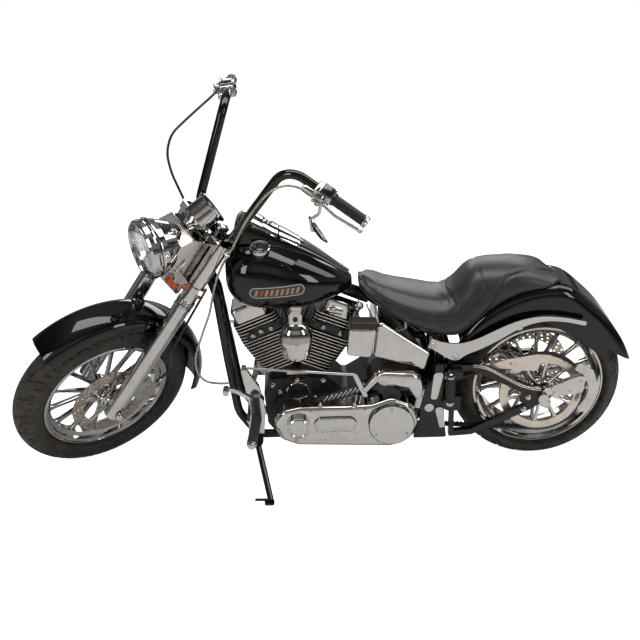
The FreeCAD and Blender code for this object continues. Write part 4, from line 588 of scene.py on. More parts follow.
def soften(obj, width=0.8, segments=2, angle=35):
    """Rounded edges and smooth shading."""
    if width > 0:
        modify(obj, "BEVEL", width=width, segments=segments, limit_method="ANGLE",
               angle_limit=math.radians(angle))
    only(obj)
    bpy.ops.object.shade_smooth_by_angle(angle=math.radians(angle))
    return obj


def copies(obj, matrices, name=None):
    """Copies of one piece, each with its own mesh, joined into one."""
    made = []
    for m in matrices:
        twin = obj.copy()
        twin.data = obj.data.copy()
        bpy.context.collection.objects.link(twin)
        twin.data.transform(m)
        made.append(twin)
    bpy.data.objects.remove(obj)
    return together(made, name)


def together(objs, name=None):
    bpy.ops.object.select_all(action="DESELECT")
    for o in objs:
        o.select_set(True)
    bpy.context.view_layer.objects.active = objs[0]
    if len(objs) > 1:
        bpy.ops.object.join()
    if name:
        objs[0].name = name
    return objs[0]


def facing(spot, axis, roll=0.0):
    """The move that stands a piece made on +Z at a spot, facing along an axis."""
    turn = Vector(axis).to_track_quat("Z", "Y").to_matrix().to_4x4()
    return Matrix.Translation(Vector(spot)) @ turn @ Matrix.Rotation(roll, 4, "Z")


def flip(p):
    return Vector((p[0], -p[1], p[2]))


def put(obj, body, finish, matrix=BIKE):
    """Into the world, on its body, in its finish."""
    obj.data.transform(matrix)
    if finish is not None:
        obj.data.materials.clear()
        obj.data.materials.append(finish)
    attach(obj, body)
    return obj


def tube(name, points, r, sides=4, order=3, closed=False):
    """A smooth round line through the air, as a mesh."""
    data = bpy.data.curves.new(name, "CURVE")
    data.dimensions = "3D"
    line = data.splines.new("NURBS")
    line.points.add(len(points) - 1)
    for k, p in enumerate(points):
        line.points[k].co = (p[0], p[1], p[2], 1)
    line.order_u = order
    line.use_endpoint_u = True
    data.resolution_u = 6
    data.bevel_depth = r
    data.bevel_resolution = sides
    data.use_fill_caps = True
    obj = bpy.data.objects.new(name, data)
    bpy.context.collection.objects.link(obj)
    only(obj)
    bpy.ops.object.convert(target="MESH")
    only(obj)
    bpy.ops.object.shade_smooth()
    return obj


print("tools ready")

# %% [markdown]
# ## Wheels
# Each tyre is a profile spun round its axle in many narrow steps. Before grooves are
# cut, the rings of the crown are turned a little against each other, so that one row
# of faces runs as a curve from the shoulder to the crown. Every tenth row is sunk across
# the crown, every fourth near the shoulders, and bands of rows that sweep towards the crown.


# %% Tyres
def pick_points(obj, test):
    """Edit mode with only the points that test accepts."""
    only(obj)
    bpy.ops.object.mode_set(mode="EDIT")
    bpy.ops.mesh.select_mode(type="VERT")
    bpy.ops.mesh.select_all(action="DESELECT")
    bpy.ops.object.mode_set(mode="OBJECT")
    for point in obj.data.vertices:
        point.select = bool(test(point.co))
    bpy.ops.object.mode_set(mode="EDIT")


def pick_numbers(obj, wanted):
    """Edit mode with only the numbered faces."""
    pick(obj, lambda c, n: False)
    bpy.ops.object.mode_set(mode="OBJECT")
    for k in wanted:
        obj.data.polygons[k].select = True
    bpy.ops.object.mode_set(mode="EDIT")


RIM_SEAT = 228.6
RIM_LIP = 243.0
STEPS = 240


def tread_tyre(name, axle, r_out, half, crown, rim_half, sweep):
    r_mid = r_out - crown
    reach = math.asin(half * 0.93 / crown)
    edge = Vector((r_mid + crown * math.cos(reach), crown * math.sin(reach)))
    bead = Vector((RIM_LIP + 2.5, rim_half - 5.5))
    bulge = Vector(((edge.x + RIM_LIP) / 2 - 4, half))
    pull = bulge * 2 - (edge + bead) / 2
    wall = []
    for k in range(7):
        t = k / 6
        wall.append(bead * (1 - t) * (1 - t) + pull * 2 * t * (1 - t) + edge * t * t)
    left = [Vector((RIM_SEAT + 1, rim_half - 6))] + wall[:-1]
    rings = 14
    arc = []
    for k in range(rings + 1):
        a = reach * (2 * k / rings - 1)
        arc.append(Vector((r_mid + crown * math.cos(a), crown * math.sin(a))))
    profile = [(p.x, -p.y) for p in left] + [(p.x, p.y) for p in arc] + [(p.x, p.y) for p in reversed(left)]
    tyre = lathe(name, profile, axle, Y, STEPS)
    grooves = []
    bands = []
    for face in tyre.data.polygons:
        d = face.center - axle
        r = math.hypot(d.x, d.z)
        a = math.atan2(d.y, r - r_mid) / reach
        row = round(math.atan2(d.z, d.x) / math.tau * STEPS - 0.5) % STEPS
        if abs(a) < 0.98 and r > edge.x - 2:
            late = 0 if a < 0 else 4
            if 0.16 < abs(a) < 0.80 and (row + late) % 10 == 0:
                grooves.append(face.index)
            if abs(a) > 0.74 and (row + late) % 4 == 2:
                grooves.append(face.index)
            turn = (row + 20 if a < 0 else row) - round((1 - abs(a)) * 30)
            if 0.10 < abs(a) < 0.80 and turn % 40 < 5:
                grooves.append(face.index)
        elif bead.x + 5 < r < bead.x + 14:
            bands.append(face.index)
    for k, p in enumerate(arc[1:-1]):
        u = abs(2 * (k + 1) / rings - 1)
        pick_points(tyre, lambda c: abs(c.y - axle.y - p.y) < 0.05 and c.x ** 2 >= 0 and
                    math.hypot(c.x - axle.x, c.z - axle.z) > edge.x - 1)
        bpy.ops.transform.rotate(value=sweep * (1 - u) ** 1.2, orient_axis="Y", orient_type="GLOBAL",
                                 center_override=axle)
        leave()
    pick_numbers(tyre, grooves)
    bpy.ops.mesh.inset(thickness=2.3, depth=-4.0)
    leave()
    pick_numbers(tyre, bands)
    bpy.ops.mesh.inset(thickness=0.8, depth=0.9)
    leave()
    return soften(tyre, 0, angle=38)


front_tread = tread_tyre("front_tread", FRONT_AXLE, 340, 63, 66, 45, math.radians(8))
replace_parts(put(front_tread, "front_wheel", TYRE, FORK), "front_tyre")
rear_tread = tread_tyre("rear_tread", REAR_AXLE, 320, 97, 112, 80, math.radians(9))
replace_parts(put(rear_tread, "rear_wheel", TYRE, BIKE), "rear_tyre")
print("tyres", len(front_tread.data.polygons), len(rear_tread.data.polygons))

# %% [markdown]
# The rims are deep chrome barrels with a rolled lip. Seven pairs of slim spokes leave
# the hub close together and reach the barrel apart. One spoke is a tapered bar with
# a raised spine, and the others are copies turned about the axle.


# %% Rims, hubs and spokes
def wheel_barrel(name, axle, rim_half):
    w = 5.0
    well = RIM_SEAT - 16
    line = [(RIM_LIP, -rim_half + 1), (RIM_LIP, -rim_half + w), (RIM_SEAT, -rim_half + w + 1),
            (RIM_SEAT, -rim_half + 22),
            (well, -rim_half + 32), (well, rim_half - 32), (RIM_SEAT, rim_half - 22),
            (RIM_SEAT, rim_half - w - 1),
            (RIM_LIP, rim_half - w), (RIM_LIP, rim_half - 1), (RIM_LIP - 3, rim_half),
            (RIM_LIP - 8, rim_half),
            (RIM_LIP - 10, rim_half - 3), (RIM_SEAT - 4, rim_half - 7), (RIM_SEAT - 6, rim_half - 22),
            (well - 5, rim_half - 31), (well - 5, -rim_half + 31), (RIM_SEAT - 6, -rim_half + 22),
            (RIM_SEAT - 4, -rim_half + 7), (RIM_LIP - 10, -rim_half + 3), (RIM_LIP - 8, -rim_half),
            (RIM_LIP - 3, -rim_half), (RIM_LIP, -rim_half + 1)]
    return soften(lathe(name, line, axle, Y, 120), 0, angle=28)


def wheel_hub(name, axle, half):
    line = [(12.1, -half), (26, -half), (30, -half + 2), (33, -half + 8), (34, -20), (50, -13), (50, 13),
            (34, 20),
            (33, half - 8), (30, half - 2), (26, half), (12.1, half), (12.1, -half)]
    return soften(lathe(name, line, axle, Y, 64), 0.7)


def wheel_spokes(name, axle, pairs, phase, gap):
    bars = []
    for side in (-1, 1):
        a0 = math.radians(phase + side * gap * 0.42)
        a1 = math.radians(phase + side * gap)
        inner = axle + Vector((math.cos(a0), 0, math.sin(a0))) * 44
        outer = axle + Vector((math.cos(a1), 0, math.sin(a1))) * (RIM_SEAT - 19)
        run = (outer - inner).normalized()
        across = run.cross(Y)
        line = []
        for u, w in ((0.0, 10.5), (0.10, 8.6), (0.30, 6.8), (0.60, 6.0), (0.86, 6.6), (1.0, 12.0)):
            line.append((inner.lerp(outer, u), w))
        outline = [p + across * w - Y * 7 for p, w in line] + [p - across * w - Y * 7
                                                               for p, w in reversed(line)]
        spoke = plate(name, outline, Y * 14)
        pick(spoke, lambda c, n: abs(n.y) > 0.9)
        bpy.ops.mesh.inset(thickness=2.6, depth=2.6)
        leave()
        bars.append(soften(spoke, 0.9, 2))
    pair = together(bars, name)
    turns = []
    for k in range(pairs):
        turns.append(Matrix.Translation(axle) @ Matrix.Rotation(math.tau * k / pairs, 4, "Y")
                     @ Matrix.Translation(-axle))
    return copies(pair, turns, name)


def valve(name, axle, angle, y):
    way = Vector((math.cos(angle), 0, math.sin(angle)))
    foot = axle + way * (RIM_SEAT - 22) + Y * y
    stem = bar(name, foot, foot - way * 26, 3.2, 12)
    pick(stem, lambda c, n: n.dot(way) < -0.9)
    bpy.ops.mesh.extrude_region_shrink_fatten(TRANSFORM_OT_shrink_fatten={"value": 2})
    bpy.ops.mesh.inset(thickness=1)
    bpy.ops.mesh.extrude_region_shrink_fatten(TRANSFORM_OT_shrink_fatten={"value": 5})
    leave()
    return soften(stem, 0.3)


for body, axle, rim_half, hub_half, pairs, phase, gap, matrix, node in (
        ("front_wheel", FRONT_AXLE, 45, 55, 7, 62.3, 12.8, FORK, "front_rim"),
        ("rear_wheel", REAR_AXLE, 80, 62, 7, 130.0, 12.5, BIKE, "rear_rim")):
    barrel = put(wheel_barrel(body + "_barrel", axle, rim_half), body, CHROME, matrix)
    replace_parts(barrel, node)
    put(wheel_hub(body + "_hub", axle, hub_half), body, CHROME, matrix)
    put(wheel_spokes(body + "_spokes", axle, pairs, phase, gap), body, DARK_CHROME_AND_DOME_SHADE, matrix)
    put(valve(body + "_valve", axle, 0.4, -16), body, RUBBER, matrix)
print("wheels dressed")

# %% [markdown]
# ## Brake discs, pulley and belt
# A brake disc is a thin ring, drilled in rows that sweep round it. The drill holes
# are one copied cylinder, cut from the ring in a single step.


# %% Drilled discs
def drilled_disc(name, axle, y, face):
    ring = lathe(name, [(103, -2.5), (146, -2.5), (146, 2.5), (103, 2.5), (103, -2.5)], axle + Y * y, Y,
                 120)
    drill = bar("drill", axle + Y * (y - 6), axle + Y * (y + 6), 4.7, 12)
    spots = []
    for row, r in enumerate((110.5, 124, 137.5)):
        for k in range(28):
            a = math.tau * (k + row * 0.34) / 28
            spots.append(Matrix.Translation(Vector((math.cos(a) * r, 0, math.sin(a) * r))))
    drills = copies(drill, spots, "drills")
    modify(ring, "BOOLEAN", operation="DIFFERENCE", object=drills, solver="EXACT")
    bpy.data.objects.remove(drills)
    return soften(ring, 0, angle=30)


def disc_carrier(name, axle, y, face):
    """Five chrome arms with a button at each end, and a ring of hub bolts."""
    out = Y * face
    arm_line = [(0, 26), (13, 30), (11, 60), (7, 84), (9, 106), (0, 110), (-9, 106), (-7, 84), (-11, 60),
                (-13, 30)]
    arm = plate(name, [axle + Y * (y - 3.5) + Vector((u, 0, v)) for u, v in arm_line], Y * 7)
    pick(arm, lambda c, n: n.dot(out) > 0.9)
    bpy.ops.mesh.inset(thickness=3)
    bpy.ops.mesh.inset(thickness=2, depth=-1.6)
    leave()
    soften(arm, 0.9)
    button = lathe(name, [(0, 0), (6.5, 0), (6.5, 3), (5, 4.5), (2.8, 4.5), (2.4, 2.6), (0, 2.6)],
                   axle + Y * (y + 3.5 * face) + Z * 101, out, 16)
    arm = together([arm, soften(button, 0)], name)
    turns = []
    for k in range(5):
        turns.append(Matrix.Translation(axle) @ Matrix.Rotation(math.tau * k / 5 + 0.3, 4, "Y")
                     @ Matrix.Translation(-axle))
    arms = copies(arm, turns, name)
    boss = lathe(name, [(13, -3.5), (40, -3.5), (40, 2), (37, 5), (28, 6.5), (22, 12), (13, 12)], axle
                 + Y * y, out, 48)
    bolt = lathe(name, [(0, 0), (5, 0), (5, 4), (4, 5), (2.4, 5), (2.4, 3), (0, 3)], axle + Y * y
                 + out * 5.5 + Z * 31, out, 12)
    bolts = copies(soften(bolt, 0), [Matrix.Translation(axle) @ Matrix.Rotation(math.tau * k / 5, 4, "Y")
                                     @ Matrix.Translation(-axle) for k in range(5)], name)
    return together([arms, soften(boss, 0.5), bolts], name)


front_ring = put(drilled_disc("front_brake_ring", FRONT_AXLE, -68, -1), "front_wheel", DISC, FORK)
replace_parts(front_ring, "front_disc")
put(disc_carrier("front_brake_carrier", FRONT_AXLE, -68, -1), "front_wheel", CHROME, FORK)
rear_ring = put(drilled_disc("rear_brake_ring", REAR_AXLE, 104, 1), "rear_wheel", DISC, BIKE)
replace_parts(rear_ring, "rear_disc")
put(disc_carrier("rear_brake_carrier", REAR_AXLE, 104, 1), "rear_wheel", CHROME, BIKE)
print("discs drilled", len(front_ring.data.polygons), len(rear_ring.data.polygons))

# %% [markdown]
# The rear pulley is a toothed ring carried by slim chrome arms, and the belt has
# square teeth inside, which show along its lower run.


# %% Pulley and belt teeth
def pulley_ring(axle, y):
    line = [(122, -12), (152, -12), (152, 12), (126, 12), (122, 8), (122, -12)]
    ring = soften(lathe("pulley_ring", line, axle + Y * y, Y, 120), 0.8)
    notch = solid("cube", "pulley_tooth", size=1, scale=(4.2, 22, 3.2), location=axle + Y * y + Z * 152.2)
    teeth = copies(notch, [Matrix.Translation(axle) @ Matrix.Rotation(math.tau * k / 70, 4, "Y")
                           @ Matrix.Translation(-axle) for k in range(70)], "pulley_teeth")
    return together([ring, teeth], "pulley_ring")


def pulley_arms(axle, y):
    line = [(0, 40), (7, 44), (5, 80), (6, 112), (12, 124), (0, 126), (-12, 124), (-6, 112), (-5, 80),
            (-7, 44)]
    arm = plate("pulley_arm", [axle + Y * (y - 8) + Vector((u + v * v * 0.0009, 0, v)) for u, v in line],
                Y * 12)
    pick(arm, lambda c, n: n.y < -0.9)
    bpy.ops.mesh.inset(thickness=2.2, depth=1.8)
    leave()
    soften(arm, 0.8)
    arms = copies(arm, [Matrix.Translation(axle) @ Matrix.Rotation(math.tau * k / 10, 4, "Y")
                        @ Matrix.Translation(-axle) for k in range(10)], "pulley_arms")
    boss = lathe("pulley_boss",
                 [(13, 10), (50, 10), (50, -4), (46, -8), (32, -9), (26, -13), (13, -13), (13, 10)],
                 axle + Y * y, Y, 64)
    bolt = lathe("pulley_bolt", [(0, 0), (5.5, 0), (5.5, 5), (4.5, 6), (0, 6)], axle + Y * (y - 8) + Z * 39,
                 -Y, 6)
    bolts = copies(bolt, [Matrix.Translation(axle) @ Matrix.Rotation(math.tau * k / 5, 4, "Y")
                          @ Matrix.Translation(-axle) for k in range(5)], "pulley_bolts")
    return together([arms, soften(boss, 0.7), bolts], "pulley_arms")


ring = put(pulley_ring(REAR_AXLE, -119), "rear_wheel", SATIN, BIKE)
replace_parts(ring, "rear_pulley")
put(pulley_arms(REAR_AXLE, -119), "rear_wheel", CHROME, BIKE)


def belt_teeth():
    """Teeth along the lower and upper runs of the belt."""
    small = Vector((-505, 0, 262))
    run = REAR_AXLE - small
    length = run.length
    u = run.normalized()
    n = Vector((-u.z, 0, u.x))
    tilt = math.asin((154 - 55) / length)
    tooth = solid("cube", "belt_tooth", size=1, scale=(7.5, 21, 4.4))
    tooth = soften(tooth, 0.9, 1)
    spots = []
    for side in (1, -1):
        out = n * math.cos(tilt) * side - u * math.sin(tilt)
        a = small + out * 55.2
        b = REAR_AXLE + out * 154.2
        along = (b - a).normalized()
        count = int((b - a).length / 14) - 3
        for k in range(2, count):
            spot = a + along * (14 * k) - out * 2.4 - Y * 119
            turn = Matrix((along, Y, out)).transposed().to_4x4()
            spots.append(Matrix.Translation(spot) @ turn)
    return copies(tooth, spots, "belt_teeth")


put(belt_teeth(), "chassis", BELT, BIKE)
print("belt toothed")

# %% [markdown]
# ## Seat
# The seat is foam under leather, so it starts as a copy of its solid, a little
# smaller, and is blown up as cloth until the leather is tight. Then the seams are
# pressed in along the lines where the panels meet, and piping is laid in the main
# ones. Both sides are made from the lines of one side.


# %% Seat
def beside(p, line):
    """How far a point is from a line of points, or from its mirror image."""
    q = Vector((p.x, -abs(p.y), p.z))
    best = 1e9
    for a, b in zip(line, line[1:]):
        run = b - a
        t = max(0.0, min(1.0, (q - a).dot(run) / run.length_squared))
        best = min(best, (q - a - run * t).length)
    return best


def loose_copy(node, name):
    """The mesh of a CAD node as a new piece, with its points merged."""
    mesh = NODES[node].data.copy()
    mesh.transform(NODES[node].matrix_world)
    mesh.materials.clear()
    piece = bpy.data.objects.new(name, mesh)
    bpy.context.collection.objects.link(piece)
    only(piece)
    bpy.ops.object.mode_set(mode="EDIT")
    bpy.ops.mesh.select_all(action="SELECT")
    bpy.ops.mesh.remove_doubles(threshold=0.00002)
    bpy.ops.mesh.normals_make_consistent(inside=False)
    leave()
    return piece


def stuffed(node, name, voxel, pressure, cap):
    """A cushion blown up from a copy of a solid. No point moves more than cap."""
    piece = loose_copy(node, name)
    modify(piece, "REMESH", mode="VOXEL", voxel_size=voxel)
    modify(piece, "DISPLACE", strength=-0.0035, mid_level=0.0)
    held = piece.vertex_groups.new(name="held")
    held.add([v.index for v in piece.data.vertices if v.normal.z < -0.3], 1.0, "REPLACE")
    start = [v.co.copy() for v in piece.data.vertices]
    only(piece)
    cloth = piece.modifiers.new("cloth", "CLOTH")
    cloth.settings.use_pressure = True
    cloth.settings.uniform_pressure_force = pressure
    cloth.settings.effector_weights.gravity = 0
    cloth.settings.vertex_group_mass = "held"
    for frame_number in range(1, 21):
        bpy.context.scene.frame_set(frame_number)
    bpy.ops.object.modifier_apply(modifier="cloth")
    bpy.context.scene.frame_set(1)
    for v, s in zip(piece.data.vertices, start):
        move = v.co - s
        if move.length > cap:
            v.co = s + move * (cap / move.length)
    return modify(piece, "SUBSURF", levels=1, render_levels=1)


def sink(piece, line, width, depth):
    """Press a seam into a cushion, narrow in a wide soft valley."""
    for reach, share in ((width * 2.4, 0.35), (width, 0.65)):
        pick_points(piece, lambda c: beside(c, line) < reach)
        bpy.ops.transform.shrink_fatten(value=-depth * share)
        leave()


def laid_on(piece, line, lift):
    """The points of a line, moved onto the skin of a piece."""
    laid = []
    for p in line:
        found, spot, normal, face = piece.closest_point_on_mesh(p)
        laid.append(spot + normal * lift)
    return laid


seat = stuffed("seat", "seat_cushion", 0.006, 4.0, 0.005)
seat.data.transform(BIKE.inverted())
PIPED = [Vector(p) for p in ((40, -20, 760), (10, -30, 775), (-20, -42, 784), (-47, -55, 789),
                             (-80, -70, 792), (-108, -83, 792),
                             (-132, -95, 787), (-151, -103, 777), (-166, -115, 764), (-176, -123, 746),
                             (-186, -126, 722), (-194, -127, 693),
                             (-208, -129, 655), (-226, -131, 610), (-240, -131, 575))]
BUCKET = [Vector(p) for p in ((-239, -40, 783), (-239, -85, 775), (-239, -116, 745), (-247, -126, 722),
                              (-256, -131, 700),
                              (-272, -135, 680), (-292, -138, 664), (-333, -144, 643), (-387, -147, 639),
                              (-455, -144, 654),
                              (-535, -128, 685), (-601, -104, 720), (-646, -68, 746), (-657, -24, 760))]
ACROSS = [Vector(p) for p in ((-352, 0, 698), (-348, -36, 699), (-342, -71, 697), (-331, -115, 684),
                              (-323, -141, 651))]
SIDE_SEAM = [Vector(p) for p in ((-412, -147, 629), (-380, -147, 610), (-354, -144, 585),
                                 (-330, -140, 560))]
for line, width, depth in ((PIPED, 4.5, 4.0), (BUCKET, 4.5, 3.6), (ACROSS, 4.0, 3.0),
                           (SIDE_SEAM, 3.5, 2.4)):
    sink(seat, laid_on(seat, line, 0), width, depth)
soften(seat, 0, angle=80)
piping = []
for line, r in ((PIPED, 2.6), (BUCKET, 2.0)):
    for turn in (lambda p: p, flip):
        piping.append(tube("seat_piping", laid_on(seat, [turn(p) for p in line], r * 0.3), r, 2))
piping = together(piping, "seat_piping")
stitch = solid("cylinder", "seat_stitch", vertices=6, radius=0.5, depth=5.0,
               rotation=(0, math.radians(90), 0))
spots = []
for line, side in ((ACROSS, 6.0), (ACROSS, -6.0), (SIDE_SEAM, 5.0)):
    for turn in (lambda p: p, flip):
        rail = laid_on(seat, [turn(p) for p in line], 0)
        for a, b in zip(rail, rail[1:]):
            run = (b - a).normalized()
            for k in range(int((b - a).length / 7.5)):
                found, spot, normal, face = seat.closest_point_on_mesh(a + run * (k * 7.5 + 3)
                                                                       + run.cross(Z).normalized() * side)
                up = (normal - run * normal.dot(run)).normalized()
                turned = Matrix((run, up.cross(run), up)).transposed().to_4x4()
                spots.append(Matrix.Translation(spot + normal * 0.2) @ turned)
stitches = copies(stitch, spots, "seat_stitches")
put(seat, "chassis", LEATHER, BIKE)
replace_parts(seat, "seat")
put(piping, "chassis", LEATHER, BIKE)
put(stitches, "chassis", RUBBER, BIKE)
print("seat", len(seat.data.polygons), "stitches", len(spots))

# %% [markdown]
# ## Screws and covers
# A screw head is one small lathe shape with a socket. It is copied wherever the
# real covers are screwed down, and each copy stands square on the face below it:
# a ray from the side finds the face.


# %% Screws and cover plates
SATIN_CHROME = polished_finish("satin_chrome", 0.09, 0.60)
def land(node, x, z, side=-1, steered=False):
    """The point and normal where a ray from the side meets a CAD node."""
    matrix = FORK if steered else BIKE
    turn = matrix.to_3x3()
    origin = matrix @ Vector((x, side * 700, z))
    way = (turn @ Vector((0, -side, 0))).normalized()
    found, spot, normal, face = NODES[node].ray_cast(origin, way)
    if not found:
        return Vector((x, side * 150, z)), Vector((0, side, 0))
    return matrix.inverted() @ spot, (turn.inverted() @ normal).normalized()


def screw(name, r, h, sides=20):
    """A socket screw head standing on +Z at the origin."""
    line = [(0, -1.5), (r, -1.5), (r, h * 0.75), (r * 0.86, h), (r * 0.52, h), (r * 0.48, h * 0.35),
            (0, h * 0.35)]
    return soften(lathe(name, line, (0, 0, 0), Z, sides), 0)


def hexagon(name, r, h):
    """A hexagon nut or bolt head with a washer under it."""
    head = solid("cylinder", name, vertices=6, radius=r, depth=h, location=(0, 0, h / 2 + 1))
    pick(head, lambda c, n: n.z > 0.9)
    bpy.ops.mesh.inset(thickness=r * 0.22)
    bpy.ops.transform.translate(value=(0, 0, h * 0.16))
    bpy.ops.mesh.inset(thickness=r * 0.22, depth=-h * 0.2)
    leave()
    washer = lathe(name + "_washer", [(0, -1), (r * 1.25, -1), (r * 1.25, 0.8), (r * 1.15, 1.4), (0, 1.4)],
                   (0, 0, 0), Z, 24)
    return together([soften(head, 0.3), soften(washer, 0)], name)


def acorn(name, r, h):
    """A domed nut."""
    line = [(0, -1), (r * 1.2, -1), (r * 1.2, 1), (r, 1.4), (r * 0.96, h * 0.45), (r * 0.8, h * 0.75),
            (r * 0.45, h * 0.95), (0, h)]
    return soften(lathe(name, line, (0, 0, 0), Z, 20), 0)


def fasten(name, pattern, places, body="chassis", finish=None, steered=False):
    """Copies of a fastener, each on a node at x, z seen from one side."""
    spots = []
    for node, x, z, side in places:
        spot, normal = land(node, x, z, side, steered)
        spots.append(facing(spot, normal))
    return put(copies(pattern, spots, name), body, finish or CHROME, FORK if steered else BIKE)


derby = lathe("derby_cover", [(0, -2), (80, -2), (80, 3.4), (78, 4.6), (50, 5.6), (0, 6.4)],
              (-559, -235, 264), -Y, 72)
groove = lathe("derby_groove", [(79, 0.4), (83, 0.4), (83, -1), (79, -1), (79, 0.4)], (-559, -235, 264), -Y,
               72)
put(groove, "chassis", RUBBER, BIKE)
put(soften(derby, 0, angle=25), "chassis", SATIN_CHROME, BIKE)
cap = lathe("clutch_end_cap",
            [(0, -2), (40, -2), (40, 1), (37, 3.4), (33, 3.4), (31, 1.4), (27, 1.2), (0, 2.6)],
            (-895, -243, 262), -Y, 60)
put(soften(cap, 0, angle=25), "chassis", POLISHED, BIKE)


def capsule(x0, x1, z, r, y, steps=12):
    """A long rounded outline in a plane square to Y."""
    line = []
    for cx, start in ((x1, -90), (x0, 90)):
        for k in range(steps + 1):
            a = math.radians(start + 180 * k / steps)
            line.append(Vector((cx + math.cos(a) * r, y, z + math.sin(a) * r)))
    return line


rim = plate("inspection_rim", capsule(-808, -714, 263, 31, -229), (0, -4, 0))
pick(rim, lambda c, n: n.y < -0.9)
bpy.ops.mesh.inset(thickness=5)
bpy.ops.mesh.inset(thickness=1.2, depth=-3)
bpy.ops.mesh.inset(thickness=3, depth=1.6)
leave()
put(soften(rim, 0.7), "chassis", POLISHED, BIKE)
fasten("inspection_screws", screw("inspection_screw", 3.6, 3.4),
       [("primary_cover", x, z, -1) for x, z in ((-830, 263), (-692, 263), (-761, 289), (-761, 237))])
fasten("derby_screws", screw("derby_screw", 5.6, 10.0),
       [("primary_cover", -559 + 66 * math.cos(math.radians(a)), 264 + 66 * math.sin(math.radians(a)), -1)
        for a in (90, 212, 328)])
fasten("primary_screws", screw("primary_screw", 4.8, 4.6),
       [("primary_cover", x, z, -1)
        for x, z in ((-968, 285), (-962, 228), (-905, 201), (-800, 199), (-690, 196), (-585, 183),
                     (-484, 215), (-480, 303), (-655, 326), (-850, 325))])
print("covers screwed down")

# %% [markdown]
# Between the cylinders and the primary cover there is a cooling strip with slanted
# louvres, a starter motor with ribs on its end, a tie plate and several bolts.


# %% Louvres, starter and engine bolts
strip_line = [(-829, 340), (-812, 360), (-690, 402), (-660, 406), (-652, 392), (-672, 372), (-716, 356),
              (-790, 328)]
strip = plate("cooling_strip", [Vector((x, -186, z)) for x, z in strip_line], (0, 14, 0))
strip = soften(strip, 1.2)
louvre = solid("cube", "louvre", size=1, scale=(4.5, 5, 30))
pick(louvre, lambda c, n: n.y < -0.9)
bpy.ops.transform.translate(value=(0, 0, 0))
bpy.ops.mesh.inset(thickness=1.2, depth=1.5)
leave()
slant = Matrix.Rotation(math.radians(38), 4, "Y")
spots = [Matrix.Translation((-795 + 17 * k, -188, 353.5 + 5.3 * k)) @ slant for k in range(8)]
louvres = copies(soften(louvre, 0.8), spots, "louvres")
put(strip, "chassis", STEEL, BIKE)
put(louvres, "chassis", POLISHED, BIKE)
fasten("strip_bolts", hexagon("strip_bolt", 8, 7),
       [("primary_cover", -815, 335, -1), ("primary_cover", -692, 334, -1)])
boss = lathe("starter_boss",
             [(0, 20), (33, 20), (33, -18), (29, -22), (24, -24), (12, -24), (10, -20), (0, -20)],
             (-556, -176, 362), -Y, 40)
put(soften(boss, 0.6), "chassis", RUBBER, BIKE)
ribs = []
for k in range(4):
    ribs.append(Matrix.Translation(Vector((-452 + k * 2.0, -150 + 7.5 * k, 318)))
                @ Matrix.Rotation(math.radians(12), 4, "Y"))
rib = solid("cube", "case_rib", size=1, scale=(22, 3.0, 74))
put(copies(soften(rib, 0.9), ribs, "case_ribs"), "chassis", POLISHED, BIKE)
fasten("starter_bolts", hexagon("starter_bolt", 8, 6),
       [("gearbox_top", -470, 386, -1), ("gearbox_top", -591, 419, -1), ("gearbox_top", -610, 440, -1)])
tie = plate("tie_plate",
            [Vector((x, -94, z)) for x, z in ((-934, 404), (-856, 404), (-856, 418), (-934, 418))],
            (0, 16, 0))
put(soften(tie, 1.0), "chassis", SATIN, BIKE)
fasten("case_bolts", acorn("case_bolt", 9, 11),
       [("engine_cases", -895, 378, -1), ("engine_cases", -987, 359, -1), ("engine_cases", -799, 373, -1),
                                               ("engine_cases", -960, 330, -1),
                                               ("engine_cases", -830, 330, -1)])
arcs = []
for r in (52, 66, 80):
    arc = lathe("case_ring",
                [(r - 2.4, -1.5), (r + 2.4, -1.5), (r + 2.4, 1.4), (r + 1.2, 2.4), (r - 1.2, 2.4),
                 (r - 2.4, 1.4), (r - 2.4, -1.5)],
                (-893, -93, 318), -Y, 64)
    pick(arc, lambda c, n: c.z < 322)
    bpy.ops.mesh.delete(type="FACE")
    leave()
    only(arc)
    bpy.ops.object.mode_set(mode="EDIT")
    bpy.ops.mesh.select_all(action="SELECT")
    bpy.ops.mesh.fill_holes(sides=8)
    leave()
    arcs.append(soften(arc, 0))
put(together(arcs, "case_rings"), "chassis", CASE, BIKE)
bright = lathe("case_bright_ring", [(38, -1), (46, -1), (46, 3), (43, 5), (39, 4), (38, -1)],
               (-893, -93, 326), -Y, 48)
put(soften(bright, 0), "chassis", CHROME, BIKE)
starter_line = [(-606, 452), (-580, 458), (-480, 450), (-452, 430), (-444, 392), (-446, 352), (-468, 344),
                (-484, 366), (-500, 392),
                (-548, 404), (-590, 402), (-614, 424)]
starter = plate("starter_cover", [Vector((x, -166, z)) for x, z in starter_line], (0, -30, 0))
pick(starter, lambda c, n: n.y < -0.9)
bpy.ops.mesh.inset(thickness=8, depth=5)
leave()
put(soften(starter, 5, 4), "chassis", CHROME, BIKE)
link = plate("starter_link",
             [Vector((x, -178, z)) for x, z in ((-664, 392), (-648, 378), (-600, 432), (-614, 448))],
             (0, -22, 0))
put(soften(link, 4, 3), "chassis", CHROME, BIKE)
print("engine bolts on")

# %% [markdown]
# Each head has a spark plug under a rubber boot, with a lead that runs back under
# the tank. A chrome intake elbow with a ring sits behind the rear head, and a
# few thin wires run down beside the battery box.


# %% Plugs, leads and wires
def boot(name, foot, way, length=34):
    line = [(0, 0), (6, 0), (6, 6), (9.5, 9), (9.5, 16), (8, 18), (8, length - 8), (6, length - 3),
            (4.2, length), (0, length)]
    return soften(lathe(name, line, foot, way, 20), 0)


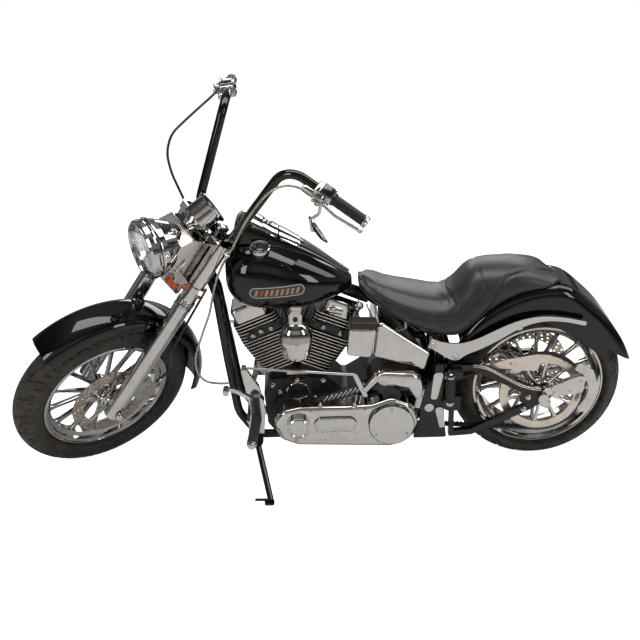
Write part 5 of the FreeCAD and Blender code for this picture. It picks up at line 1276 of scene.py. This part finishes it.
HEAD_SIDES = (("front", ((-1078, 560), (-1070, 536), (-985, 574), (-940, 596), (-962, 618), (-1034, 596))),
              ("rear", ((-702, 556), (-708, 532), (-798, 571), (-846, 594), (-822, 614), (-750, 590))))
for label, line in HEAD_SIDES:
    for side in (-1, 1):
        block = plate("head_block_%s_%s" % (label, "left" if side < 0 else "right"),
                      [Vector((x, side * 60, z)) for x, z in line], (0, side * 19, 0))
        pick(block, lambda c, n: n.y * side > 0.9)
        bpy.ops.mesh.inset(thickness=5, depth=-3)
        leave()
        put(soften(block, 2.0, 3), "chassis", CASE, BIKE)


def head_nuts():
    """Bright nuts on each head, seen on both sides."""
    nut = acorn("head_nut", 9.0, 13)
    spots = []
    for x, z in ((-1050, 561), (-1021, 578), (-984, 589), (-797, 588), (-735, 560)):
        for side in (-1, 1):
            spots.append(facing((x, side * 74, z), (0, side, 0.35)))
    return copies(nut, spots, "head_nuts")


put(head_nuts(), "chassis", CHROME, BIKE)
plug_ways = (((-865, -30, 566), (0.55, -0.62, 0.56)), ((-928, -30, 566), (-0.45, -0.66, 0.60)))
for k, (foot, way) in enumerate(plug_ways):
    put(boot("plug_boot_%d" % (k + 1), foot, way), "chassis", RUBBER, BIKE)
LEADS = (((-846, -51, 585), (-838, -62, 606), (-826, -66, 628), (-800, -58, 652), (-760, -44, 668)),
         ((-943, -52, 586), (-950, -62, 604), (-948, -64, 628), (-930, -54, 650), (-904, -40, 668)))
put(together([tube("plug_lead", line, 3.4, 3) for line in LEADS], "plug_leads"), "chassis", RUBBER, BIKE)
WIRES = (((-706, -62, 668), (-700, -80, 650), (-699, -92, 628), (-706, -98, 600), (-716, -96, 572),
          (-724, -88, 548)),
         ((-690, -58, 672), (-680, -84, 660), (-668, -104, 640), (-664, -110, 622)),
         ((-640, -70, 672), (-632, -92, 654), (-622, -104, 632), (-618, -106, 612)))
put(together([tube("loom", line, 2.6, 3) for line in WIRES], "engine_wires"), "chassis", RUBBER, BIKE)
lid = solid("cube", "battery_lid", size=1, scale=(92, 56, 22), location=(-658, -143, 631),
            rotation=(0, math.radians(3), 0))
pick(lid, lambda c, n: n.z > 0.9)
bpy.ops.mesh.inset(thickness=5)
bpy.ops.transform.translate(value=(0, 0, 4))
leave()
put(soften(lid, 2.5, 3), "chassis", RUBBER, BIKE)
mount = acorn("tank_mount", 12, 17)
mount.data.transform(facing((-665, -84, 672), (-0.2, -0.9, 0.4)))
put(mount, "chassis", CHROME, BIKE)
elbow = tube("intake_elbow", [(-792, -46, 640), (-776, -56, 648), (-752, -60, 650), (-728, -60, 640)], 15,
             6)
ring = lathe("intake_ring", [(15, -4), (19, -4), (20, 0), (19, 4), (15, 4), (15, -4)], (-757, -59, 650),
             (1, 0, 0), 32)
put(together([elbow, soften(ring, 0.4)], "intake_elbow"), "chassis", CHROME, BIKE)
HORN_RING = ((-58, 0), (-56, -12), (-46, -26), (0, -46), (46, -26), (56, -12), (58, 0), (42, 6), (-42, 6))
horn_low = plate("horn_shell", [Vector((-895 + x, -172 + y, 588)) for x, y in HORN_RING], (0, 0, -66))
pick(horn_low, lambda c, n: n.z < -0.9)
bpy.ops.transform.resize(value=(0.80, 0.88, 1), center_override=(-895, -172, 522))
bpy.ops.mesh.extrude_region_move(TRANSFORM_OT_translate={"value": (0, 0, -9)})
bpy.ops.transform.resize(value=(0.62, 0.8, 1), center_override=(-895, -172, 513))
leave()
soften(horn_low, 1.4, 3)
dome = solid("uv_sphere", "horn_dome", segments=40, ring_count=20, radius=1, location=(0, 0, 0))
dome.data.transform(Matrix.Translation((-895, -172, 590)) @ Matrix.Diagonal((60, 46, 70, 1)))
pick(dome, lambda c, n: c.z < 588)
bpy.ops.mesh.delete(type="FACE")
leave()
only(dome)
bpy.ops.object.mode_set(mode="EDIT")
bpy.ops.mesh.select_all(action="SELECT")
bpy.ops.mesh.fill_holes(sides=60)
leave()
soften(dome, 0, angle=50)
horn_strap = plate("horn_strap",
                   [Vector((x, -188, z)) for x, z in ((-917, 648), (-873, 648), (-871, 690), (-880, 702),
                                                      (-910, 702), (-919, 690))], (0, 8, 0))
soften(horn_strap, 2, 3)
# Painted shade: the top dome of the one chrome horn cover gets the darker chrome, so it shows darker than the
# chrome lower shell.
put(dome, "chassis", DARK_CHROME_AND_DOME_SHADE, BIKE)
horn = together([horn_low, horn_strap], "horn_cover")
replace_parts(put(horn, "chassis", CHROME, BIKE), "horn")
strap_screw = screw("horn_screw", 9, 6)
strap_screw.data.transform(facing((-895, -188, 676), (0, -1, 0)))
put(strap_screw, "chassis", STEEL, BIKE)
print("plugs and wires on")

# %% [markdown]
# ## Tank badge, caps and console
# The badge is made up for this lesson: a flat silver plate with round ends and a row
# of slanting bars on a black field. A flat outline is cut into small faces, each
# point is dropped on the tank along one direction, and the skin is then given a
# thickness.


# %% Badge and console plates
def enamel(name, colour, rough=0.16, metal=0.0):
    f = Finish(name, Coat_Weight=0.5, Coat_Roughness=0.05, Metallic=metal)
    worn = f.noise(60, 4, 0.6).ramp(0.4, 0.75)
    darker = tuple(v * 0.8 for v in colour[:3]) + (1.0,)
    return f.set(Base_Color=f.mix(worn, colour, darker), Roughness=worn * 0.12 + rough,
                 Normal=f.bump(f.noise(400, 2), 0.00002, 0.3))


SILVER = enamel("badge_silver", (0.44, 0.44, 0.45, 1.0), 0.2, 0.4)
TAN = enamel("badge_tan", (0.40, 0.24, 0.12, 1.0), 0.25, 0.2)
RED = enamel("badge_red", (0.42, 0.035, 0.02, 1.0))
BLACK_GLOSS = enamel("gloss_black_trim", grey(0.006), 0.1)


def skin(name, outline, body, way, lift, thick, cuts=7):
    """A flat outline dropped on a body along a direction, as a thin plate."""
    way = Vector(way).normalized()
    piece = chain(name, outline)
    bpy.ops.mesh.select_all(action="SELECT")
    bpy.ops.mesh.edge_face_add()
    bpy.ops.mesh.quads_convert_to_tris()
    bpy.ops.mesh.subdivide(number_cuts=cuts)
    leave()
    for v in piece.data.vertices:
        found, spot, normal, face = body.ray_cast(v.co - way * 400, way)
        if not found:
            found, spot, normal, face = body.closest_point_on_mesh(v.co - way * 400 + way * 300)
        v.co = spot - way * lift
    pick(piece, lambda c, n: True)
    bpy.ops.mesh.normals_make_consistent(inside=False)
    leave()
    facing_out = sum((p.normal.dot(way) for p in piece.data.polygons)) < 0
    if not facing_out:
        pick(piece, lambda c, n: True)
        bpy.ops.mesh.flip_normals()
        leave()
    modify(piece, "SOLIDIFY", thickness=thick, offset=-1)
    return soften(piece, 0, angle=50)


tank_guide = loose_copy("fuel_tank", "tank_guide")
tank_guide.data.transform(BIKE.inverted())
console_guide = loose_copy("tank_console", "console_guide")
console_guide.data.transform(BIKE.inverted())
BADGE = Vector((-955, 0, 770))
TILT = math.radians(3)


def badge_point(side, u, v):
    """A place on the badge, u along it and v up it."""
    return Vector((BADGE.x + u * math.cos(TILT) - v * math.sin(TILT), side * 300, BADGE.z
                   + v * math.cos(TILT) + u * math.sin(TILT)))


def round_ended(side, half, r, steps=10):
    """The outline of a plate with round ends, half long from the middle to the tip."""
    line = []
    for end in (1, -1):
        for k in range(steps + 1):
            a = math.pi * (k / steps - 0.5)
            line.append(badge_point(side, end * (half - r + r * math.cos(a)), end * r * math.sin(a)))
    return line


for side, label in ((-1, "left"), (1, "right")):
    way = (0, -side, 0)
    put(skin("badge_plate_" + label, round_ended(side, 96, 20), tank_guide, way, 1.6, 2.4), "chassis",
        SILVER, BIKE)
    put(skin("badge_field_" + label, round_ended(side, 92, 16), tank_guide, way, 2.6, 1.8), "chassis",
        BLACK_GLOSS, BIKE)
    bars = {TAN: [], RED: []}
    for k in range(9):
        u = -72 + 18 * k
        line = [badge_point(side, u + du, v) for du, v in ((-9, -11), (1, -11), (9, 11), (-1, 11))]
        bars[RED if k == 1 else TAN].append(skin("badge_bar", line, tank_guide, way, 3.6, 1.6, 3))
    put(together(bars[TAN], "badge_bars_" + label), "chassis", TAN, BIKE)
    put(together(bars[RED], "badge_red_bar_" + label), "chassis", RED, BIKE)
    up = Vector((0, side * 0.30, 1)).normalized()
    cap_line = [(0, 5), (24, 5), (27, 3), (28, 7), (30, 10.5), (33, 11), (36, 8.5), (36.5, 3), (36, -3),
                (0, -3)]
    cap = lathe("cap_ring_" + label, cap_line, Vector((-1010, side * 100, 905)) + up * 2.5, up, 64)
    put(soften(cap, 0, angle=30), "chassis", CHROME, BIKE)
    dish = lathe("cap_centre_" + label,
                 [(0, 7.5), (14, 7.5), (16, 6.5), (18, 6.5), (19, 7.5), (26, 7.0), (26, 4), (0, 4)],
                 Vector((-1010, side * 100, 905)) + up * 2.5, up, 48)
    put(soften(dish, 0, angle=30), "chassis", BLACK_GLOSS, BIKE)

for k, (x0, x1, w0, w1) in enumerate(((-1092, -1046, 34, 54), (-1040, -948, 57, 54), (-942, -872, 53, 41))):
    line = [Vector((x, y, 1300))
            for x, y in ((x0, -w0 + 6), (x0 + 6, -w0), (x1 - 6, -w1), (x1, -w1 + 6), (x1, w1 - 6),
                         (x1 - 6, w1), (x0 + 6, w0), (x0, w0 - 6))]
    panel = skin("console_panel_%d" % (k + 1), line, console_guide, (0, 0, -1), 2.4, 3.2, 9)
    put(panel, "chassis", CHROME, BIKE)
strap_line = [Vector((x, y, 1300))
              for x, y in ((-858, -26), (-700, -12), (-668, -10), (-668, 10), (-700, 12), (-858, 26))]
put(skin("console_strap", strap_line, console_guide, (0, 0, -1), 1.6, 2.4, 15), "chassis", LEATHER, BIKE)
found, spot, normal, face = console_guide.ray_cast(Vector((-728, 0, 1300)), Vector((0, 0, -1)))
stud = acorn("strap_stud", 6, 6)
stud.data.transform(facing(spot + normal * 1.4, normal))
put(stud, "chassis", CHROME, BIKE)
found, spot, normal, face = console_guide.ray_cast(Vector((-985, 0, 1300)), Vector((0, 0, -1)))
key = lathe("ignition_switch", [(0, 9), (5, 9), (5.5, 8), (15, 8), (18, 6.5), (19, 0), (19, -3), (0, -3)],
            spot + normal * 2.2, normal, 40)
put(soften(key, 0, angle=25), "chassis", CHROME, BIKE)
bpy.data.objects.remove(tank_guide)
bpy.data.objects.remove(console_guide)
print("badge, caps and console done")

# %% [markdown]
# ## Headlamp, gauge and fork
# The lamp is a polished bowl with a bulb in it, behind the clear glass. The gauge
# has a dark dial with plain ticks and numbers. What turns with the fork is modelled
# on the fork's own straight frame, and put in place with the fork's matrix.


# %% Headlamp and gauge
LAMP_FACE = Vector((-1448, 0, 963))
bowl = lathe("lamp_bowl",
             [(91.5, 11), (88, 16), (78, 30), (62, 46), (44, 57), (26, 63), (13, 64), (13, 68), (28, 67),
              (46, 61), (64, 50),
                           (80, 34), (91, 19), (91.5, 11)], LAMP_FACE, X, 72)
put(soften(bowl, 0), "fork", DARK_CHROME_AND_DOME_SHADE, FORK)
shield = lathe("lamp_bulb_shield", [(0, 30), (10, 31), (13, 35), (13, 50), (11, 50), (11, 36), (0, 33)],
               LAMP_FACE, X, 32)
stem = bar("lamp_bulb_stem", LAMP_FACE + X * 34, LAMP_FACE + X * 66, 3.5, 12)
put(together([soften(shield, 0), soften(stem, 0)], "lamp_bulb"), "fork", CHROME, FORK)
collar = lathe("lamp_collar", [(103.5, 33), (106.2, 34), (106.8, 37), (106.2, 40), (102, 41)], LAMP_FACE, X,
               96)
put(soften(modify(collar, "SOLIDIFY", thickness=1.2), 0), "fork", CHROME, FORK)
trim = lathe("lamp_trim", [(92.4, 8), (92.4, -4), (94, -6.5), (97, -7.5), (99, -6), (99.5, -3)], LAMP_FACE,
             X, 96)
put(soften(modify(trim, "SOLIDIFY", thickness=1.0), 0), "fork", CHROME, FORK)
lamp_bolt = acorn("lamp_bolt", 8, 10)
spots = []
for side in (-1, 1):
    spots.append(facing(LAMP_FACE + Vector((62, side * 88, -44)), (0.35, side * 0.85, -0.4)))
    spots.append(facing(LAMP_FACE + Vector((46, side * 96, 30)), (0.2, side * 0.95, 0.25)))
put(copies(lamp_bolt, spots, "lamp_bolts"), "fork", CHROME, FORK)

GAUGE_FACE = Vector((-1179, 0, 1059))
GAUGE_AXIS = Vector((math.cos(math.radians(28)), 0, math.sin(math.radians(28))))
dial = lathe("gauge_dial", [(0, -2.6), (49.5, -2.6), (49.5, -3.8), (0, -3.8)], GAUGE_FACE, GAUGE_AXIS, 64)
put(soften(dial, 0), "fork", BLACK_GLOSS, FORK)
tick = solid("cube", "tick", size=1, scale=(1.2, 6, 0.5))
small_tick = solid("cube", "tick", size=1, scale=(0.7, 3.5, 0.5))
spots_big = []
spots_small = []
for k in range(49):
    a = math.radians(225 - k * 270 / 48)
    m = facing(GAUGE_FACE - GAUGE_AXIS * 2.3, GAUGE_AXIS) @ Matrix.Rotation(a - math.pi / 2, 4,
                                                                            "Z") @ Matrix.Translation((0,
                                                                                                       43.5, 0))
    (spots_big if k % 4 == 0 else spots_small).append(m)
ticks = together([copies(tick, spots_big, "gauge_ticks"), copies(small_tick, spots_small, "gauge_ticks")],
                 "gauge_ticks")
put(ticks, "fork", SILVER, FORK)
numbers = []
for k in range(7):
    bpy.ops.object.select_all(action="DESELECT")
    bpy.ops.object.text_add()
    text = bpy.context.object
    text.data.body = str(k * 20)
    text.data.align_x = "CENTER"
    text.data.align_y = "CENTER"
    text.data.size = 8.5
    text.data.extrude = 0.3
    bpy.ops.object.convert(target="MESH")
    a = math.radians(225 - k * 45)
    text.data.transform(facing(GAUGE_FACE - GAUGE_AXIS * 2.3, GAUGE_AXIS)
                        @ Matrix.Translation((math.cos(a) * 33, math.sin(a) * 33, 0)))
    numbers.append(text)
put(together(numbers, "gauge_numbers"), "fork", SILVER, FORK)
needle = plate("gauge_needle", [(-1.4, -9, 0), (1.4, -9, 0), (0.5, 38, 0), (-0.5, 38, 0)], (0, 0, 0.8))
needle.data.transform(facing(GAUGE_FACE - GAUGE_AXIS * 1.2, GAUGE_AXIS)
                      @ Matrix.Rotation(math.radians(135), 4, "Z"))
put(needle, "fork", RED, FORK)
glass = lathe("gauge_glass", [(50.5, -0.6), (50.5, 0.6), (38, 3.0), (20, 4.6), (0, 5.2)], GAUGE_FACE,
              GAUGE_AXIS, 64)
put(soften(modify(glass, "SOLIDIFY", thickness=1.0), 0), "fork", CLEAR, FORK)
print("lamp and gauge done")

# %% [markdown]
# The handlebar is held by two caps with screws. Below, each fork leg has polished
# rings where its cover ends, an axle nut and drain screws.


# %% Fork fittings
clamp_cap = solid("cube", "bar_clamp", size=1, scale=(46, 30, 20))
soften(clamp_cap, 5, 4)
bolt_head = screw("bar_clamp_screw", 5, 6)
bolts = copies(bolt_head, [Matrix.Translation((-15, 0, 9.5)), Matrix.Translation((15, 0, 9.5))],
               "bar_clamp_screws")
clamp_cap = together([clamp_cap, bolts], "bar_clamp")
lift = UP * 17
spots = []
for y in (-45, 45):
    spots.append(Matrix.Translation(Vector((-1178, y, 976)) + lift) @ Matrix.Rotation(RAKE, 4, "Y"))
put(copies(clamp_cap, spots, "bar_clamps"), "fork", CHROME, FORK)
rings = []
for side in (-1, 1):
    for s in (516.5, 523.5, 530.5):
        rings.append(lathe("leg_ring",
                           [(29.5, -2.2), (32.6, -1.6), (33.6, 0), (32.6, 1.6), (29.5, 2.2), (29.5, -2.2)],
                           fork_point(s, 58.7, side * 113), UP, 48))
    rings.append(lathe("seal_ring", [(31.2, -6), (33.4, -5), (33.8, 0), (33.4, 5), (31.2, 6), (31.2, -6)],
                       fork_point(500, 58.7, side * 113), UP, 48))
put(soften(together(rings, "leg_rings"), 0), "fork", CHROME, FORK)
nuts = []
for side in (-1, 1):
    nuts.append(facing((-1636, side * 155, 340), (0, side, 0)))
put(copies(acorn("front_axle_nut", 15, 15), nuts, "front_axle_nuts"), "fork", CHROME, FORK)
drains = []
for side in (-1, 1):
    drains.append(facing(fork_point(30, 58.7, side * 113) + Y * side * 31, (0, side, 0)))
    drains.append(facing(fork_point(-2, 58.7, side * 113) - AHEAD * 31, -AHEAD))
put(copies(screw("leg_screw", 4.5, 3.5), drains, "leg_screws"), "fork", STEEL, FORK)
fasten("brake_bolts", acorn("brake_bolt", 7, 8),
       [("front_caliper", -1636 + 150 * math.cos(a), 340 + 150 * math.sin(a), -1) for a in (0.05, 0.38)],
       "fork", CHROME, True)

# %% [markdown]
# ## Hand controls
# Each grip is a ribbed rubber sleeve with a chrome end. Beside it sit a switch box
# with rounded edges, its black buttons and a clamp for the lever.


# %% Grips and hand controls
GRIP_DIR = Vector((160, 242, -108)).normalized()
BAR_END = Vector((-868, 446, 1213))


def mirrored(obj):
    """A piece turned into its twin on the left of the bike."""
    obj.data.transform(Matrix.Scale(-1, 4, Y))
    pick(obj, lambda c, n: True)
    bpy.ops.mesh.flip_normals()
    leave()
    return obj


def grip_sleeve(name):
    foot = BAR_END - GRIP_DIR * 129
    line = [(12.4, 0), (21, 0), (22.5, 1.5), (22.5, 5), (21, 7), (18.6, 9)]
    h = 11
    while h < 112:
        line += [(18.7, h), (18.7, h + 4.4), (17.7, h + 5), (17.7, h + 6.6), (18.7, h + 7.2)]
        h += 7.6
    line += [(18.7, 119), (12.4, 119)]
    return soften(lathe(name, line + [line[0]], foot, GRIP_DIR, 40), 0)


def grip_end(name):
    foot = BAR_END - GRIP_DIR * 129
    line = [(12.4, 119), (18.2, 119), (20.4, 120.5), (20.6, 124), (19.4, 126), (19.4, 129), (20.4, 131),
            (19, 135), (12, 136.5), (0, 136.5)]
    return soften(lathe(name, line, foot, GRIP_DIR, 40), 0)


for side, label in ((1, "right"), (-1, "left")):
    same = (lambda o: o) if side > 0 else mirrored
    sleeve = put(same(grip_sleeve("grip_" + label)), "fork", RUBBER, FORK)
    if side > 0:
        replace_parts(sleeve, "grips")
    put(same(grip_end("grip_end_" + label)), "fork", CHROME, FORK)
    centre = BAR_END - GRIP_DIR * 154
    ahead = (Vector((-1, 0, 0)) + GRIP_DIR * GRIP_DIR.x).normalized()
    stand = Matrix((GRIP_DIR, ahead, GRIP_DIR.cross(ahead))).transposed().to_4x4()
    up_sign = 1 if (stand.to_3x3() @ Vector((0, 0, 1))).z > 0 else -1
    box = solid("cube", "switch_box", size=1, scale=(48, 48, 52))
    pick(box, lambda c, n: n.y < -0.9)
    bpy.ops.mesh.inset(thickness=5)
    bpy.ops.mesh.inset(thickness=1.5, depth=-2)
    leave()
    soften(box, 5, 3)
    band = solid("cube", "lever_clamp", size=1, scale=(20, 50, 40), location=(-30, 4, 0))
    soften(band, 6, 3)
    reach = solid("cube", "perch_reach", size=1, scale=(46, 28, 24), location=(-54, 20, -9 * up_sign))
    soften(reach, 8, 4)
    arm = solid("cube", "lever_arm", size=1, scale=(34, 26, 13), location=(-12, 40, 0))
    pick(arm, lambda c, n: n.x > 0.9)
    bpy.ops.transform.resize(value=(1, 0.6, 0.8), center_override=(5, 44, 0))
    leave()
    soften(arm, 3, 3)
    pivot = lathe("lever_pivot", [(0, -9), (8, -9), (9, -7.5), (9, 7.5), (8, 9), (3, 9), (3, 7), (0, 7)],
                  (-8, 46, 0), Z, 24)
    cluster = together([box, band, reach, arm, soften(pivot, 0)], "switch_box_" + label)
    screws = copies(screw("clamp_screw", 3.2, 2.4, 14),
                    [facing((-30, 30, 20 * v), (0, 0, v)) for v in (-1, 1)] +
                    [facing((12, -16, 25 * v), (0, 0, v)) for v in (-1, 1)], "clamp_screws")
    cluster = together([cluster, screws], "switch_box_" + label)
    cluster.data.transform(Matrix.Translation(centre) @ stand)
    put(same(cluster), "fork", CHROME, FORK)
    knob = solid("cube", "switch_knob", size=1, scale=(11, 7, 16), location=(6, -25, 6 * up_sign))
    soften(knob, 2.2, 3)
    button = lathe("horn_button", [(0, 5), (5.5, 5), (6.5, 4), (6.5, -3), (0, -3)], (8, -22, -14 * up_sign),
                   -Y, 20)
    top = solid("cube", "fluid_lid", size=1, scale=(40, 40, 12), location=(-2, 4, 28 * up_sign))
    soften(top, 2.5, 3)
    knobs = together([knob, soften(button, 0), top], "switch_knobs_" + label)
    knobs.data.transform(Matrix.Translation(centre) @ stand)
    put(same(knobs), "fork", BLACK_GLOSS, FORK)
mirror_way = Vector((0.86, -0.10, 0.5)).normalized()
mirror_glass = lathe("mirror_glass", [(0, 5.4), (46, 5.4), (49.5, 4.6), (50.5, 3.6), (0, 3.6)],
                     (-968, -330, 1129), mirror_way, 64)
put(soften(mirror_glass, 0), "fork", chrome_finish("mirror_silver", 0.8), FORK)
print("hand controls done")

# %% [markdown]
# The clutch cable leaves the lever, hangs in front of the bar and runs down beside
# the neck to the case. Its upper points are placed with the fork's matrix and its
# lower points with the frame's, and the finished cable is one mesh set in the world.


# %% Cables
CLUTCH_FORK = ((-984, -337, 1261), (-1000, -330, 1281), (-1023, -318, 1302), (-1050, -300, 1317),
               (-1082, -280, 1319), (-1119, -256, 1289), (-1153, -236, 1227),
               (-1185, -214, 1138), (-1205, -190, 1030), (-1224, -178, 983))
CLUTCH_FRAME = ((-1155, -150, 839), (-1179, -125, 756), (-1196, -112, 673), (-1216, -118, 625),
                (-1237, -125, 569), (-1259, -130, 508),
                (-1258, -130, 446), (-1231, -125, 401), (-1178, -112, 384), (-1150, -97, 377))
clutch_way = [FORK @ Vector(p) for p in CLUTCH_FORK] + [BIKE @ Vector(p) for p in CLUTCH_FRAME]
cable = tube("clutch_cable_run", clutch_way, 0.0042, 4)
cable.data.materials.append(satin_finish("braided_cable", (0.52, 0.47, 0.41, 1.0), (0.36, 0.32, 0.28, 1.0)))
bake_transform(cable)
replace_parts(cable, "clutch_cable", "clutch_cable_lower")
clip = lathe("cable_clip", [(5, -7), (8, -6), (8, 6), (5, 7), (5, -7)], (0, 0, 0), Z, 20)
spots = [facing((-1221, -180, 992), (-0.3, 0.2, -1))]
put(copies(soften(clip, 0), spots, "cable_clip"), "fork", CHROME, FORK)
print("cable run", len(cable.data.polygons))

# %% [markdown]
# ## Rear fittings and pegs
# The last pieces are small: nuts on the rear axle, buttons on the fender struts,
# bright strips on the swingarm, and ribbed pegs with their ends.


# %% Rear fittings
fasten("axle_nut", hexagon("axle_nut", 17, 12), [("swingarm", 12, 294, -1)])
fasten("strut_buttons", acorn("strut_button", 11, 9),
       [("fender_struts", x, z, s) for x, z in ((-407, 541), (-326, 494)) for s in (-1, 1)])
fasten("cover_buttons", screw("cover_button", 6, 4),
       [("belt_guard", -120, 446, -1), ("belt_guard", 78, 448, -1)])
fasten("plate_screws", screw("plate_screw", 4, 3),
       [("plate_bracket", x, z, -1) for x, z in ((34, 348), (92, 352), (64, 388), (128, 392), (150, 345))])
fasten("block_screws", hexagon("block_screw", 8, 6),
       [("swingarm", -52, 318, -1), ("swingarm", -66, 268, -1)])
strips = []
for drop in (0, 7):
    line = [(-262, -160, 461 - drop), (-222, -160, 455 - drop), (-186, -160, 436 - drop),
            (-132, -160, 402 - drop), (-86, -160, 374 - drop),
            (-50, -160, 361 - drop), (-8, -160, 353 - drop)]
    strips.append(tube("arm_strip", line, 2.2, 3))
put(together(strips, "arm_strips"), "chassis", SATIN, BIKE)


def ribbed_peg(name, foot, way, r, length):
    line = [(r - 6, 0), (r + 1, 0), (r + 2, 2), (r + 2, 6), (r, 8)]
    h = 10
    while h < length - 12:
        line += [(r + 0.8, h), (r + 0.8, h + 5), (r - 1.2, h + 6), (r - 1.2, h + 8.5), (r + 0.8, h + 9.5)]
        h += 10
    line += [(r + 0.8, length - 2), (r - 6, length)]
    return soften(lathe(name, line, foot, way, 36), 0)


def peg_end(name, foot, way, r):
    line = [(0, -4), (r, -4), (r + 1.5, -1), (r + 1.5, 3), (r - 1, 6), (r - 1, 9), (r * 0.8, 14),
            (r * 0.45, 17), (0, 18)]
    return soften(lathe(name, line, foot, way, 36), 0)


pegs = []
ends = []
for side in (-1, 1):
    pegs.append(ribbed_peg("rear_peg", Vector((-343, side * 176, 436)), (0, 0, -1), 15, 130))
    ends.append(peg_end("rear_peg_end", Vector((-343, side * 176, 318)), (0, 0, -1), 17))
    ends.append(peg_end("rear_peg_hinge", Vector((-343, side * 176, 424)), (0, 0, 1), 17))
    inner = Vector((-1044.5, side * 232, 300.5))
    outer = Vector((-1056, side * 400, 305))
    way = (outer - inner).normalized()
    pegs.append(ribbed_peg("front_peg", inner, way, 17, (outer - inner).length - 2))
    ends.append(peg_end("front_peg_end", outer, way, 15))
put(together(pegs, "peg_rubbers"), "chassis", RUBBER, BIKE)
put(together(ends, "peg_ends"), "chassis", CHROME, BIKE)

print("rear fittings done")
